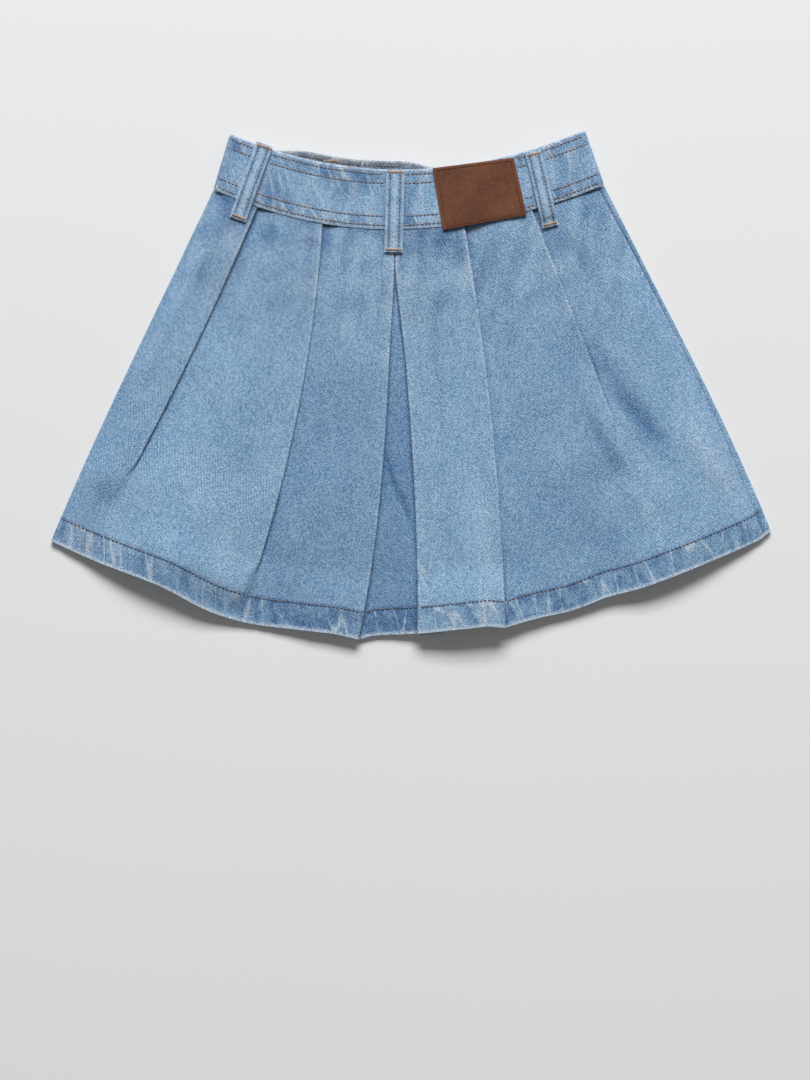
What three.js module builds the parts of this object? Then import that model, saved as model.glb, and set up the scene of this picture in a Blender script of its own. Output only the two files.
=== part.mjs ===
// A child's pleated denim skirt, laid flat on its front with its back showing.
// Millimetres. X runs across the skirt, Y from the hem to the waist, and Z up from the
// surface that it lies on. The origin is under the middle of the whole skirt.
import * as THREE from 'three';

// Cloth
const WALL = 1.0; // one layer of washed denim
const HEM_WALL = 1.8; // the turned-up hem
const BAND_WALL = 2.4; // the folded waistband
const LOOP_WALL = 1.7; // a folded belt loop
const PATCH_WALL = 1.4; // the leather
const GAP = 0.3; // clear space at a seam and between the layers of a fold
const HEM_START = 0.931; // share of the skirt's length where the 19 mm hem begins
const HEM_EASE = 0.012; // share of the length in which the wall thickens there

// Outline seen from above. A sagging line is lowest at lowX and rises to both of its ends.
const WAIST_LINE = { lowX: -15, lowY: 108.2, leftX: -138.4, leftRise: 28.1, rightX: 135.4, rightRise: 31.1 };
const BAND_TOP_LINE = { lowX: -8, lowY: 150.6, leftX: -126.9, leftRise: 25, rightX: 122, rightRise: 27.7 };
const HEM_LINE = [
  { x: -252.7, y: -109.2 },
  { x: -221.2, y: -123.2 },
  { x: -173.6, y: -141.4 },
  { x: -143.5, y: -157.5 },
  { x: -115.5, y: -166.6 },
  { x: -84.7, y: -170.8 },
  { x: -50.0, y: -174.8 },
  { x: -37.1, y: -178.2 },
  { x: -27.3, y: -175.7 },
  { x: 4.2, y: -174.0 },
  { x: 41.3, y: -170.1 },
  { x: 56.0, y: -168.7 },
  { x: 66.2, y: -169.8 },
  { x: 83.3, y: -164.5 },
  { x: 114.8, y: -157.5 },
  { x: 137.2, y: -148.4 },
  { x: 156.8, y: -143.5 },
  { x: 175.0, y: -137.2 },
  { x: 212.1, y: -122.5 },
  { x: 247.1, y: -107.1 },
  { x: 252.7, y: -102.2 },
];

// Lines that run from the waist to the hem. waist and hem are places along those two lines,
// bow is how far the line swings sideways between them, and skew moves that swing to the hem.
// A pleat also has the side that lies over the other, its laps at the waist, the middle and
// the hem, where it opens out and where it is flat again, and how far its under layers drop.
// late moves a line sideways a little below the waist, so that two that meet there part later.
const LEFT_EDGE = { waist: -138.6, hem: -252.7, bow: -2, skew: 0.5 };
const RIGHT_EDGE = { waist: 135.6, hem: 252.7, bow: 3.5, skew: 0.5 };
const BACK_LINES = [
  LEFT_EDGE,
  { waist: -107.1, hem: -227.5, bow: 4.2, skew: 0, over: 'left', laps: [11, 18, 9], opens: 0.68, flat: 0.86 },
  { waist: -61.6, hem: -119.7, bow: 10.1, skew: 0, over: 'left', laps: [14, 22, 3] },
  { waist: -11.3, hem: -36.4, bow: 6, skew: 0.5, over: 'left', laps: [15, 16, 9], late: 1 },
  { waist: -11.3, hem: 4.2, bow: 3.2, skew: 0.6, over: 'right', laps: [15, 18, 17], drop: 1.6, late: -2 },
  { waist: 37.5, hem: 66.2, bow: 5.6, skew: 0, over: 'left', laps: [14, 18, 13] },
  { waist: 85.1, hem: 182.7, bow: 1.4, skew: 0, over: 'left', laps: [14, 15, 6], opens: 0.52, flat: 0.72 },
  RIGHT_EDGE,
];
const FRONT_LEFT_LINES = [
  LEFT_EDGE,
  { waist: -88, hem: -165, bow: 0, skew: 0, over: 'right', laps: [13, 15, 6], opens: 0.68, flat: 0.86 },
  { waist: -46, hem: -84, bow: 0, skew: 0, over: 'right', laps: [13, 15, 6], opens: 0.68, flat: 0.86 },
  { waist: -1.4, hem: 0, bow: 0, skew: 0 },
];
const FRONT_RIGHT_LINES = [
  { waist: -1.4, hem: 0, bow: 0, skew: 0 },
  { waist: 43, hem: 84, bow: 0, skew: 0, over: 'left', laps: [13, 15, 6], opens: 0.68, flat: 0.86 },
  { waist: 85, hem: 165, bow: 0, skew: 0, over: 'left', laps: [13, 15, 6], opens: 0.68, flat: 0.86 },
  RIGHT_EDGE,
];
const LATE_FULL = 0.1; // share of the length at which a late line has moved furthest
const LATE_ENDS = 0.35;
const SHORTEST_LAP = 1.6; // a pleat that is about to open out
const LAP_CLOSING = 0.16; // share of the length in which its lap shrinks to that
const OPENING = 0.06; // share of the length in which it turns from a fold into a slope
const LEAST_FALL = 0.01; // keeps the arcs of an opened pleat from vanishing
const SLOPE_WIDTH = 9; // how wide that slope is
const SLOPE_CENTRE = 0.75; // share of the slope on the side that lies over
const FOLD_MARGIN = 1.5; // a stretch starts this far past the layers of its fold
const LINE_MARGIN = 3; // and this far past its line on the other side
const LEFT_SEAM_INSET = 9; // side seam under the left edge
const RIGHT_SEAM_INSETS = [4.6, 2.8, 6.6]; // side seam over the right edge, at waist, middle and hem
const FRONT_HEM_INSET = 3; // the front's hem lies this far inside the back's
const FRONT_HEM_SIDE = 30; // but meets it at the sides, within this width

// Heights
const WAIST_LIFT = 2.6; // the front lies this high at the waist, over its button and loops
const WAIST_LIFT_ENDS = [0.08, 0.28]; // share of the length in which it comes down to the surface
const SIDE_SLOPE = [0.008, 0.035]; // share of the width in which the back comes down to the front
const SIDE_SLOPE_STARTS = 0.15; // share of the length in which that sets in
const FRONT_PLEATS_END = [0.87, 0.93];
const FRONT_FOLLOWS = 0.35; // share of the hem's waves that the front follows
const FRONT_WAVE_START = 0.62;
const WAVE_START = 0.42;
const WAVE_END = 1.1;
const WAVE_POWER = 1.5;
const WAVES = [
  { x: -178, reach: 76, height: 11 },
  { x: 44, reach: 66, height: 8 },
  { x: 106, reach: 50, height: 3 },
  { x: 182, reach: 70, height: 9.5 },
];
const HEM_SHIFT_START = 0.8; // share of the length below which a hem drops or draws in
const CROWN = 1.2; // softness of each stretch between two pleats

// Sections down the length and points across a stretch
const BACK_ROWS = [
  0, 0.06, 0.16, 0.28, 0.4, 0.52, 0.54, 0.56, 0.58, 0.63, 0.68, 0.7, 0.72, 0.74, 0.83, 0.918, 0.944, 1,
];
const FRONT_ROWS = [0, 0.06, 0.16, 0.28, 0.4, 0.54, 0.68, 0.7, 0.72, 0.74, 0.83, 0.918, 0.944, 1];
const STRETCH_STEPS = [0, 0.25, 0.5, 0.75, 1];
const FRONT_STRETCH_STEPS = [0, 0.12, 0.24, 0.5, 0.76, 0.88, 1];
const TURN_STEPS = 3;
const CURVE_STEPS = 10;
const FRONT_SETTLE = 0.24; // share of a front stretch that slopes, next to a pleat

// Waistband, belt loops, patch and button
const BAND_ROWS = [
  { share: 0, wall: 0.6 },
  { share: 0.04, wall: 1 },
  { share: 0.5, wall: 1 },
  { share: 0.96, wall: 1 },
  { share: 1, wall: 0.6 },
];
const BAND_SEAM_GAP = 0.6; // between the band's lower edge and the panels
const FRONT_BAND_RISE = 6.1; // the front of the band shows this far above the back
const FRONT_BAND_RISE_SPAN = { left: -112, leftFull: -76, rightFull: -6, right: 26 };
const BAND_FRONT_Z = WAIST_LIFT + BAND_WALL / 2;
const BAND_UNDERLAP_Z = BAND_FRONT_Z + BAND_WALL + GAP;
const BAND_BACK_Z = BAND_UNDERLAP_Z + BAND_WALL + GAP;
const OVERLAP_END_X = 16;
const UNDERLAP_END_X = -37;
const UNDERLAP_SLOPE = 12; // how wide the step is from one layer of the band to the other
const BAND_STEPS = { overlap: 10, back: 18, right: 7, underlap: 5 };
const BAND_CURVE_STEPS = 60;
const BAND_TURN_CLEAR = 6; // the band is flat again this far past its turn
const BACK_LOOPS = [
  { name: 'belt_loop_back_left', top: [-102.2, 168.0], bottom: [-121.1, 115.5], width: 11.9 },
  { name: 'belt_loop_back_centre', top: [-10.9, 150.6], bottom: [-12.2, 92.6], width: 12.9 },
  { name: 'belt_loop_back_right', top: [85.2, 163.0], bottom: [97.6, 110.8], width: 11.4 },
];
const FRONT_LOOPS = [
  { name: 'belt_loop_front_left', x: -60, lean: -6 },
  { name: 'belt_loop_front_right', x: 57, lean: 6 },
];
const FRONT_LOOP_WIDTH = 12.5;
const FRONT_LOOP_TOP = 0.985; // share of the band's height
const LOOP_BELOW_WAIST = 15;
const LOOP_ARCH = { height: 0.9, rises: [0.1, 0.35], falls: [0.65, 0.9] };
const LOOP_STEPS = 6;
const LOOP_COLUMNS = [
  { place: -1, wall: 0.5 },
  { place: -0.86, wall: 1 },
  { place: 0, wall: 1 },
  { place: 0.86, wall: 1 },
  { place: 1, wall: 0.5 },
];
const PATCH_EDGE = 0.025; // share of its sides that is bevelled
const PATCH_CORNERS = [
  [15.1, 151.2],
  [71.7, 158.6],
  [80.8, 118.7],
  [22.4, 108.2],
];
const BUTTON_X = -1.4;
const BUTTON_RADIUS = 8.5;
const BUTTON_EDGE = 0.7;
const BUTTON_SIDES = 28;
const SHANK_SHARE = 0.45; // of the button's radius
const BUTTON_DEPTHS = { rim: 0.6, shank: 0.7 }; // share of its height

const DENIM = { color: 0x86a9cc, roughness: 0.88, metalness: 0 };
const LEATHER = { color: 0x6d3f24, roughness: 0.6, metalness: 0 };
const METAL = { color: 0x9a938a, roughness: 0.35, metalness: 1 };

// Number helpers
const mix = (a, b, share) => a + (b - a) * share;
const clamp = (value) => Math.min(1, Math.max(0, value));

function ease(from, to, value) {
  const share = clamp((value - from) / (to - from));
  return share * share * (3 - 2 * share);
}

function throughThree([waist, middle, hem], t) {
  return waist * (1 - t) * (1 - 2 * t) + middle * 4 * t * (1 - t) + hem * t * (2 * t - 1);
}

// Outline
function sag(line, x) {
  const [endX, rise] = x < line.lowX ? [line.leftX, line.leftRise] : [line.rightX, line.rightRise];
  return line.lowY + rise * ((x - line.lowX) / (endX - line.lowX)) ** 2;
}

function hemY(x) {
  const last = HEM_LINE.length - 2;
  const found = HEM_LINE.findIndex((point, index) => index <= last && x <= HEM_LINE[index + 1].x);
  const i = found < 0 ? last : found;
  const a = HEM_LINE[i];
  const b = HEM_LINE[i + 1];
  const before = HEM_LINE[Math.max(0, i - 1)];
  const after = HEM_LINE[Math.min(HEM_LINE.length - 1, i + 2)];
  const width = b.x - a.x;
  const share = (x - a.x) / width;
  const slopeA = ((b.y - before.y) / (b.x - before.x)) * width;
  const slopeB = ((after.y - a.y) / (after.x - a.x)) * width;
  const s2 = share * share;
  const s3 = s2 * share;
  return a.y * (2 * s3 - 3 * s2 + 1) + slopeA * (s3 - 2 * s2 + share)
    + b.y * (3 * s2 - 2 * s3) + slopeB * (s3 - s2);
}

function frontRise(x) {
  const span = FRONT_BAND_RISE_SPAN;
  return FRONT_BAND_RISE * ease(span.left, span.leftFull, x) * (1 - ease(span.rightFull, span.right, x));
}

function linePoint(line, t, isFront) {
  const late = (line.late ?? 0) * ease(0, LATE_FULL, t) * (1 - ease(LATE_FULL, LATE_ENDS, t));
  const swing = 4 * line.bow * t * (1 - t) * (1 + line.skew * (2 * t - 1)) + late;
  const waistY = sag(WAIST_LINE, line.waist) + (isFront ? frontRise(line.waist) : 0);
  return [mix(line.waist, line.hem, t) + swing, mix(waistY, hemY(line.hem), t)];
}

// Samples a curve and gives its point at any length along it, and the length at each mark
function measuredCurve(points, markIndices) {
  const lengths = [0];
  for (let i = 1; i < points.length; i += 1) {
    const [dx, dy] = [points[i][0] - points[i - 1][0], points[i][1] - points[i - 1][1]];
    lengths.push(lengths[i - 1] + Math.hypot(dx, dy));
  }
  const at = (length) => {
    let i = lengths.findIndex((value) => value > length);
    if (i < 0) i = lengths.length - 1;
    i = Math.max(1, i);
    const share = (length - lengths[i - 1]) / (lengths[i] - lengths[i - 1]);
    return [mix(points[i - 1][0], points[i][0], share), mix(points[i - 1][1], points[i][1], share)];
  };
  return { at, marks: markIndices.map((index) => lengths[index]), total: lengths[lengths.length - 1] };
}

// One row across the skirt, through all of its lines at the share t of the length
function rowCurve(lines, t, isFront) {
  const points = [linePoint(lines[0], t, isFront)];
  const marks = [0];
  for (let i = 1; i < lines.length; i += 1) {
    const [a, b] = [lines[i - 1], lines[i]];
    const isClosed = Math.abs(a.waist - b.waist) * (1 - t) + Math.abs(a.hem - b.hem) * t < 1e-6;
    for (let step = 1; step <= CURVE_STEPS && !isClosed; step += 1) {
      const share = step / CURVE_STEPS;
      const between = {
        waist: mix(a.waist, b.waist, share),
        hem: mix(a.hem, b.hem, share),
        bow: mix(a.bow, b.bow, share),
        skew: mix(a.skew, b.skew, share),
        late: mix(a.late ?? 0, b.late ?? 0, share),
      };
      points.push(linePoint(between, t, isFront));
    }
    marks.push(points.length - 1);
  }
  return measuredCurve(points, marks);
}

// Heights of the layers
const hemShare = (t) => ease(HEM_START - HEM_EASE, HEM_START + HEM_EASE, t);
const halfWall = (t) => mix(WALL, HEM_WALL, hemShare(t)) / 2;
const pitch = (t) => 2 * halfWall(t) + GAP * (1 + hemShare(t));

function wave(x, t, from) {
  const height = WAVES.reduce((sum, bump) => {
    const reach = (x - bump.x) / bump.reach;
    return sum + (Math.abs(reach) < 1 ? bump.height * Math.cos((reach * Math.PI) / 2) ** 2 : 0);
  }, 0);
  return height * (ease(from, WAVE_END, t) / ease(from, WAVE_END, 1)) ** WAVE_POWER;
}

const lift = (t) => WAIST_LIFT * (1 - ease(...WAIST_LIFT_ENDS, t));

function frontHeight(x, t) {
  return halfWall(t) + lift(t) + FRONT_FOLLOWS * wave(x, t, FRONT_WAVE_START);
}

function backHeight(x, t) {
  const left = linePoint(LEFT_EDGE, t, false)[0];
  const right = linePoint(RIGHT_EDGE, t, false)[0];
  const share = (x - left) / (right - left);
  const side = 1 - ease(...SIDE_SLOPE, share) * ease(...SIDE_SLOPE, 1 - share);
  const overPleats = 1 - side * ease(0, SIDE_SLOPE_STARTS, t);
  const pleats = 2 * pitch(t) * overPleats * (1 - ease(...FRONT_PLEATS_END, t));
  return 3 * halfWall(t) + lift(t) + pleats + GAP + wave(x, t, WAVE_START);
}

// How far a pleat's step still stands: 1 along a fold, 0 where the cloth is flat again
function pleatStep(line, t) {
  if (!line.over) return 0;
  return line.opens === undefined ? 1 : 1 - ease(line.opens + OPENING, line.flat, t);
}

// One pleat across a row: the cloth's middle line from its outer to its inner level, as two
// arcs that each turn by the same angle. A half turn is a fold, and a small turn is a slope.
// Each point has its shift from the pleat's line, its fall from the outer level, and the
// direction of its upper side. outward is 1 where the outer level is the higher one.
function pleatPoints(line, t, outward) {
  const half = halfWall(t);
  const fall = 2 * pitch(t) * pleatStep(line, t);
  const opening = line.opens === undefined ? 0 : ease(line.opens, line.opens + OPENING, t);
  const slopeAngle = 2 * Math.atan(Math.max(fall, LEAST_FALL) / SLOPE_WIDTH);
  const angle = mix(Math.PI, slopeAngle, opening);
  const radius = Math.max(fall, LEAST_FALL) / (2 * (1 - Math.cos(angle)));
  const closing = clamp(((line.opens ?? 2) - t) / LAP_CLOSING);
  const lap = Math.max(SHORTEST_LAP, throughThree(line.laps, t) * closing);
  const foldStart = -(radius + half + GAP / 2);
  const slopeStart = -radius * Math.sin(angle) * 2 * SLOPE_CENTRE;
  const start = mix(foldStart, slopeStart, opening);
  const straight = (1 - opening) * Math.max(0, lap + foldStart);
  const points = [];
  for (const turn of [0, 1]) {
    for (let step = 0; step <= TURN_STEPS; step += 1) {
      const turned = (angle * step) / TURN_STEPS;
      const heading = turn === 0 ? turned : angle - turned;
      const run = turn === 0
        ? radius * Math.sin(heading)
        : radius * (2 * Math.sin(angle) - Math.sin(heading)) - straight;
      const drop = turn === 0
        ? radius * (1 - Math.cos(heading))
        : radius * (1 - 2 * Math.cos(angle) + Math.cos(heading));
      points.push({
        shift: start + run,
        fall: drop,
        normal: [outward * Math.sin(heading), Math.cos(heading)],
        drop: turn === 0 && step < 2 ? 0 : line.drop ?? 0,
      });
    }
  }
  const reach = Math.max(lap * (1 - opening), -start) + radius * (1 - opening) + half + FOLD_MARGIN;
  if (line.over === 'left') return { points, lap, reach };
  const mirrored = points.reverse().map((point) => ({
    ...point,
    shift: -point.shift,
    normal: [-point.normal[0], point.normal[1]],
  }));
  return { points: mirrored, lap, reach };
}

// Where the cloth between two pleats starts and ends, and its share of the step there
function stretchAfter(line, pleat, curve, index, t) {
  const isOverLeft = line.over === 'left';
  return {
    at: curve.marks[index] + (isOverLeft ? LINE_MARGIN : pleat.reach),
    level: isOverLeft ? 0 : pleatStep(line, t),
  };
}

function stretchBefore(line, pleat, curve, index, t) {
  const isOverLeft = line.over === 'left';
  return {
    at: curve.marks[index] - (isOverLeft ? pleat.reach : LINE_MARGIN),
    level: isOverLeft ? pleatStep(line, t) : 0,
  };
}

function stretchStations({ from, to, rise, steps, settle, crown }) {
  return steps.map((share) => {
    const level = from.level * (1 - ease(0, settle, share)) + to.level * (1 - ease(0, settle, 1 - share));
    return { at: mix(from.at, to.at, share), height: level * rise + crown * 4 * share * (1 - share) };
  });
}

function pleatStations(pleat, mark, topHeight, outward) {
  return pleat.points.map((point) => ({
    at: mark + point.shift,
    height: outward > 0 ? topHeight - point.fall : point.fall,
    normal: point.normal,
    drop: point.drop,
  }));
}

// All the points across one row of a panel, with its pleats and the stretches between them.
// start and end are the points that it has before its first stretch and after its last one.
function rowStations({ lines, t, curve, outward, startAt, endAt, start, end, steps, settle }) {
  const rise = 2 * pitch(t);
  const stations = [...start];
  let pleat = null;
  for (let i = 1; i < lines.length; i += 1) {
    const [last, line] = [lines[i - 1], lines[i]];
    const next = i < lines.length - 1 ? pleatPoints(line, t, outward) : null;
    const from = pleat ? stretchAfter(last, pleat, curve, i - 1, t) : { at: startAt, level: 0 };
    const to = next ? stretchBefore(line, next, curve, i, t) : { at: endAt, level: 0 };
    const isUnderlay = pleat && next && last.over === 'left' && line.over === 'right';
    if (isUnderlay) {
      from.at = curve.marks[i - 1] - pleat.lap / 2;
      to.at = curve.marks[i] + next.lap / 2;
    }
    if (outward < 0) {
      from.level = pleat ? pleatStep(last, t) - from.level : 0;
      to.level = next ? pleatStep(line, t) - to.level : 0;
    }
    const crown = isUnderlay || outward < 0 ? 0 : CROWN * (1 - hemShare(t));
    stations.push(...stretchStations({ from, to, rise, steps, settle, crown }));
    if (next) stations.push(...pleatStations(next, curve.marks[i], pleatStep(line, t) * rise, outward));
    pleat = next;
  }
  return [...stations, ...end];
}

// Turns the middle line of a row into its upper and lower points
function wallRow(stations, curve, t, half, heightAt, insetAt = () => 0) {
  const flat = stations.map((station) => {
    const [x] = curve.at(station.at);
    const base = station.base ?? heightAt(x, t);
    return { ...station, z: base + station.height };
  });
  return flat.map((station, i) => {
    const before = flat[Math.max(0, i - 1)];
    const after = flat[Math.min(flat.length - 1, i + 1)];
    const [run, climb] = [after.at - before.at, after.z - before.z];
    const normal = station.normal ?? [-climb, run];
    const size = Math.hypot(...normal);
    const place = (side) => {
      const [x, y] = curve.at(station.at + (side * half * normal[0]) / size);
      const drop = (station.drop ?? 0) - insetAt(station.at);
      return [x, y - drop * ease(HEM_SHIFT_START, 1, t), station.z + (side * half * normal[1]) / size];
    };
    return { upper: place(1), lower: place(-1) };
  });
}

// A half turn round the side of the flat skirt, from one level to another
function sideTurn(outlineAt, inward, half, lowZ, highZ, goesUp) {
  const radius = (highZ - lowZ) / 2;
  const steps = [...Array(TURN_STEPS + 2).keys()].map((step) => (Math.PI * step) / (TURN_STEPS + 1));
  const points = steps.map((angle) => {
    const [out, down] = [Math.sin(angle), Math.cos(angle)];
    const side = inward > 0 ? -1 : 1;
    const upperSide = goesUp === (inward > 0) ? 1 : -1;
    return {
      at: outlineAt + inward * (radius + half - radius * out),
      base: (lowZ + highZ) / 2 - radius * down,
      height: 0,
      normal: [upperSide * side * out, -upperSide * down],
    };
  });
  return goesUp ? points : points.reverse();
}

// Closes a wall from its rows of upper and lower points
function wallGeometry(rows) {
  const across = rows[0].length;
  const positions = [];
  const indices = [];
  for (const side of ['upper', 'lower']) {
    for (const row of rows) {
      for (const point of row) positions.push(...point[side]);
    }
  }
  const layer = rows.length * across;
  const upper = (row, i) => row * across + i;
  const lower = (row, i) => layer + row * across + i;
  const quad = (a, b, c, d) => indices.push(a, b, c, a, c, d);
  for (let row = 0; row + 1 < rows.length; row += 1) {
    for (let i = 0; i + 1 < across; i += 1) {
      quad(upper(row, i), upper(row + 1, i), upper(row + 1, i + 1), upper(row, i + 1));
      quad(lower(row, i), lower(row, i + 1), lower(row + 1, i + 1), lower(row + 1, i));
    }
    quad(upper(row, 0), lower(row, 0), lower(row + 1, 0), upper(row + 1, 0));
    const end = across - 1;
    quad(upper(row, end), upper(row + 1, end), lower(row + 1, end), lower(row, end));
  }
  const bottom = rows.length - 1;
  for (let i = 0; i + 1 < across; i += 1) {
    quad(upper(0, i), upper(0, i + 1), lower(0, i + 1), lower(0, i));
    quad(upper(bottom, i), lower(bottom, i), lower(bottom, i + 1), upper(bottom, i + 1));
  }
  const geometry = new THREE.BufferGeometry();
  geometry.setAttribute('position', new THREE.Float32BufferAttribute(positions, 3));
  geometry.setIndex(indices);
  geometry.computeVertexNormals();
  return geometry;
}

// Panels
function backPanel() {
  return wallGeometry(BACK_ROWS.map((t) => {
    const curve = rowCurve(BACK_LINES, t, false);
    const half = halfWall(t);
    const [edgeX] = curve.at(0);
    const [lowZ, highZ] = [frontHeight(edgeX, t), backHeight(edgeX, t)];
    const turn = sideTurn(0, 1, half, lowZ, highZ, true);
    const start = [{ at: LEFT_SEAM_INSET, base: lowZ, height: 0 }, ...turn];
    const endAt = curve.total - throughThree(RIGHT_SEAM_INSETS, t) - GAP;
    const stations = rowStations({
      lines: BACK_LINES,
      t,
      curve,
      outward: 1,
      startAt: (highZ - lowZ) / 2 + half + FOLD_MARGIN,
      endAt,
      start,
      end: [],
      steps: STRETCH_STEPS,
      settle: 1,
    });
    return wallRow(stations, curve, t, half, backHeight);
  }));
}

function frontLeftPanel() {
  return wallGeometry(FRONT_ROWS.map((t) => {
    const curve = rowCurve(FRONT_LEFT_LINES, t, true);
    const insetAt = (at) => FRONT_HEM_INSET * ease(LEFT_SEAM_INSET, FRONT_HEM_SIDE, at);
    const stations = rowStations({
      lines: FRONT_LEFT_LINES,
      t,
      curve,
      outward: -1,
      startAt: LEFT_SEAM_INSET + GAP,
      endAt: curve.total - GAP / 2,
      start: [],
      end: [],
      steps: FRONT_STRETCH_STEPS,
      settle: FRONT_SETTLE,
    });
    return wallRow(stations, curve, t, halfWall(t), frontHeight, insetAt);
  }));
}

function frontRightPanel() {
  return wallGeometry(FRONT_ROWS.map((t) => {
    const curve = rowCurve(FRONT_RIGHT_LINES, t, true);
    const insetAt = (at) => FRONT_HEM_INSET * ease(LEFT_SEAM_INSET, FRONT_HEM_SIDE, curve.total - at);
    const half = halfWall(t);
    const [edgeX] = curve.at(curve.total);
    const [lowZ, highZ] = [frontHeight(edgeX, t), backHeight(edgeX, t)];
    const turn = sideTurn(curve.total, -1, half, lowZ, highZ, true);
    const seamAt = curve.total - throughThree(RIGHT_SEAM_INSETS, t);
    const stations = rowStations({
      lines: FRONT_RIGHT_LINES,
      t,
      curve,
      outward: -1,
      startAt: GAP / 2,
      endAt: curve.total - LEFT_SEAM_INSET,
      start: [],
      end: [...turn, { at: seamAt, base: highZ, height: 0 }],
      steps: FRONT_STRETCH_STEPS,
      settle: FRONT_SETTLE,
    });
    return wallRow(stations, curve, t, half, frontHeight, insetAt);
  }));
}

// Waistband: one strip from the end that laps over, round the back, to the end beneath it
function bandPoint(place, share, isFront) {
  const lowerX = mix(WAIST_LINE.leftX, WAIST_LINE.rightX, place);
  const upperX = mix(BAND_TOP_LINE.leftX, BAND_TOP_LINE.rightX, place);
  const rise = isFront ? frontRise(lowerX) : 0;
  const lower = sag(WAIST_LINE, lowerX) + BAND_SEAM_GAP;
  return [mix(lowerX, upperX, share), mix(lower, sag(BAND_TOP_LINE, upperX), share) + rise];
}

function bandCurve(share, isFront) {
  const count = BAND_CURVE_STEPS;
  const points = [...Array(count + 1).keys()].map((i) => bandPoint(i / count, share, isFront));
  return measuredCurve(points, [0, count]);
}

function bandRow({ share, wall }) {
  const half = (wall * BAND_WALL) / 2;
  const back = bandCurve(share, false);
  const front = bandCurve(share, true);
  const radius = (BAND_BACK_Z - BAND_FRONT_Z) / 2;
  const endOf = (x) => (front.total * (x - WAIST_LINE.leftX)) / (WAIST_LINE.rightX - WAIST_LINE.leftX);
  const walk = (curve, from, to, count, zOf) => {
    return [...Array(count + 1).keys()].map((i) => {
      const at = mix(from, to, i / count);
      return { curve, at, z: zOf(at), normal: [0, to > from ? 1 : -1] };
    });
  };
  const turn = (curve, outlineAt, inward, goesUp) => {
    const full = BAND_WALL / 2;
    return sideTurn(outlineAt, inward, full, BAND_FRONT_Z, BAND_BACK_Z, goesUp)
      .map((point) => ({ curve, at: point.at, z: point.base, normal: point.normal }));
  };
  const edge = radius + BAND_WALL / 2 + BAND_TURN_CLEAR;
  const slopeFrom = endOf(OVERLAP_END_X) + FOLD_MARGIN;
  const slopeTo = slopeFrom + UNDERLAP_SLOPE;
  const underlapZ = (at) => mix(BAND_UNDERLAP_Z, BAND_FRONT_Z, ease(slopeFrom, slopeTo, at));
  const stations = [
    ...walk(front, endOf(OVERLAP_END_X), edge, BAND_STEPS.overlap, () => BAND_FRONT_Z),
    ...turn(back, 0, 1, true),
    ...walk(back, edge, back.total - edge, BAND_STEPS.back, () => BAND_BACK_Z),
    ...turn(back, back.total, -1, false),
    ...walk(front, front.total - edge, slopeTo, BAND_STEPS.right, () => BAND_FRONT_Z),
    ...[0.75, 0.5, 0.25].map((part) => {
      const at = slopeFrom + UNDERLAP_SLOPE * part;
      return { curve: front, at, z: underlapZ(at), normal: [0, -1] };
    }),
    ...walk(front, slopeFrom, endOf(UNDERLAP_END_X), BAND_STEPS.underlap, () => BAND_UNDERLAP_Z),
  ];
  return stations.map((station) => {
    const place = (side) => {
      const [x, y] = station.curve.at(station.at + side * half * station.normal[0]);
      return [x, y, station.z + side * half * station.normal[1]];
    };
    return { upper: place(1), lower: place(-1) };
  });
}

const waistband = () => wallGeometry(BAND_ROWS.map(bandRow).reverse());

// The highest point of a piece above a place, or its lowest with side -1
function surfaceHeight(geometry, x, y, side) {
  const position = geometry.getAttribute('position');
  const index = geometry.getIndex();
  let best = null;
  for (let i = 0; i < index.count; i += 3) {
    const corner = (k) => new THREE.Vector3().fromBufferAttribute(position, index.getX(i + k));
    const [a, b, c] = [corner(0), corner(1), corner(2)];
    const area = (b.x - a.x) * (c.y - a.y) - (c.x - a.x) * (b.y - a.y);
    if (Math.abs(area) < 1e-9) continue;
    const u = ((x - a.x) * (c.y - a.y) - (c.x - a.x) * (y - a.y)) / area;
    const v = ((b.x - a.x) * (y - a.y) - (x - a.x) * (b.y - a.y)) / area;
    if (u < 0 || v < 0 || u + v > 1) continue;
    const z = a.z + u * (b.z - a.z) + v * (c.z - a.z);
    if (best === null || side * z > side * best) best = z;
  }
  return best;
}

// Belt loop: a flat strip that stands a little off the band between its two sewn ends
function beltLoop({ top, bottom, width }, surfaces, side) {
  const [dx, dy] = [bottom[0] - top[0], bottom[1] - top[1]];
  const length = Math.hypot(dx, dy);
  const acrossX = -dy / length;
  const acrossY = dx / length;
  const heights = [...Array(LOOP_STEPS + 1).keys()].map((step) => {
    const share = mix(0.01, 0.99, step / LOOP_STEPS);
    const found = [-0.5, -0.25, 0, 0.25, 0.5].flatMap((place) => surfaces.map((surface) => surfaceHeight(
      surface,
      top[0] + dx * share + acrossX * width * place,
      top[1] + dy * share + acrossY * width * place,
      side,
    ))).filter((z) => z !== null);
    return side > 0 ? Math.max(...found) : Math.min(...found);
  });
  const eased = heights.map((z, i) => {
    const near = [heights[Math.max(0, i - 1)], z, heights[Math.min(LOOP_STEPS, i + 1)]];
    return side > 0 ? Math.max(...near) : Math.min(...near);
  });
  const rows = eased.map((z, i) => {
    const share = i / LOOP_STEPS;
    const arched = ease(...LOOP_ARCH.rises, share) * (1 - ease(...LOOP_ARCH.falls, share));
    const arch = side > 0 ? LOOP_ARCH.height * arched : 0;
    const middle = z + side * (GAP + LOOP_WALL / 2 + arch);
    return LOOP_COLUMNS.map(({ place, wall }) => {
      const half = (wall * LOOP_WALL) / 2;
      const x = top[0] + dx * share + (acrossX * width * place) / 2;
      const y = top[1] + dy * share + (acrossY * width * place) / 2;
      return { upper: [x, y, middle + half], lower: [x, y, middle - half] };
    });
  });
  return wallGeometry(rows);
}

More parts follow.
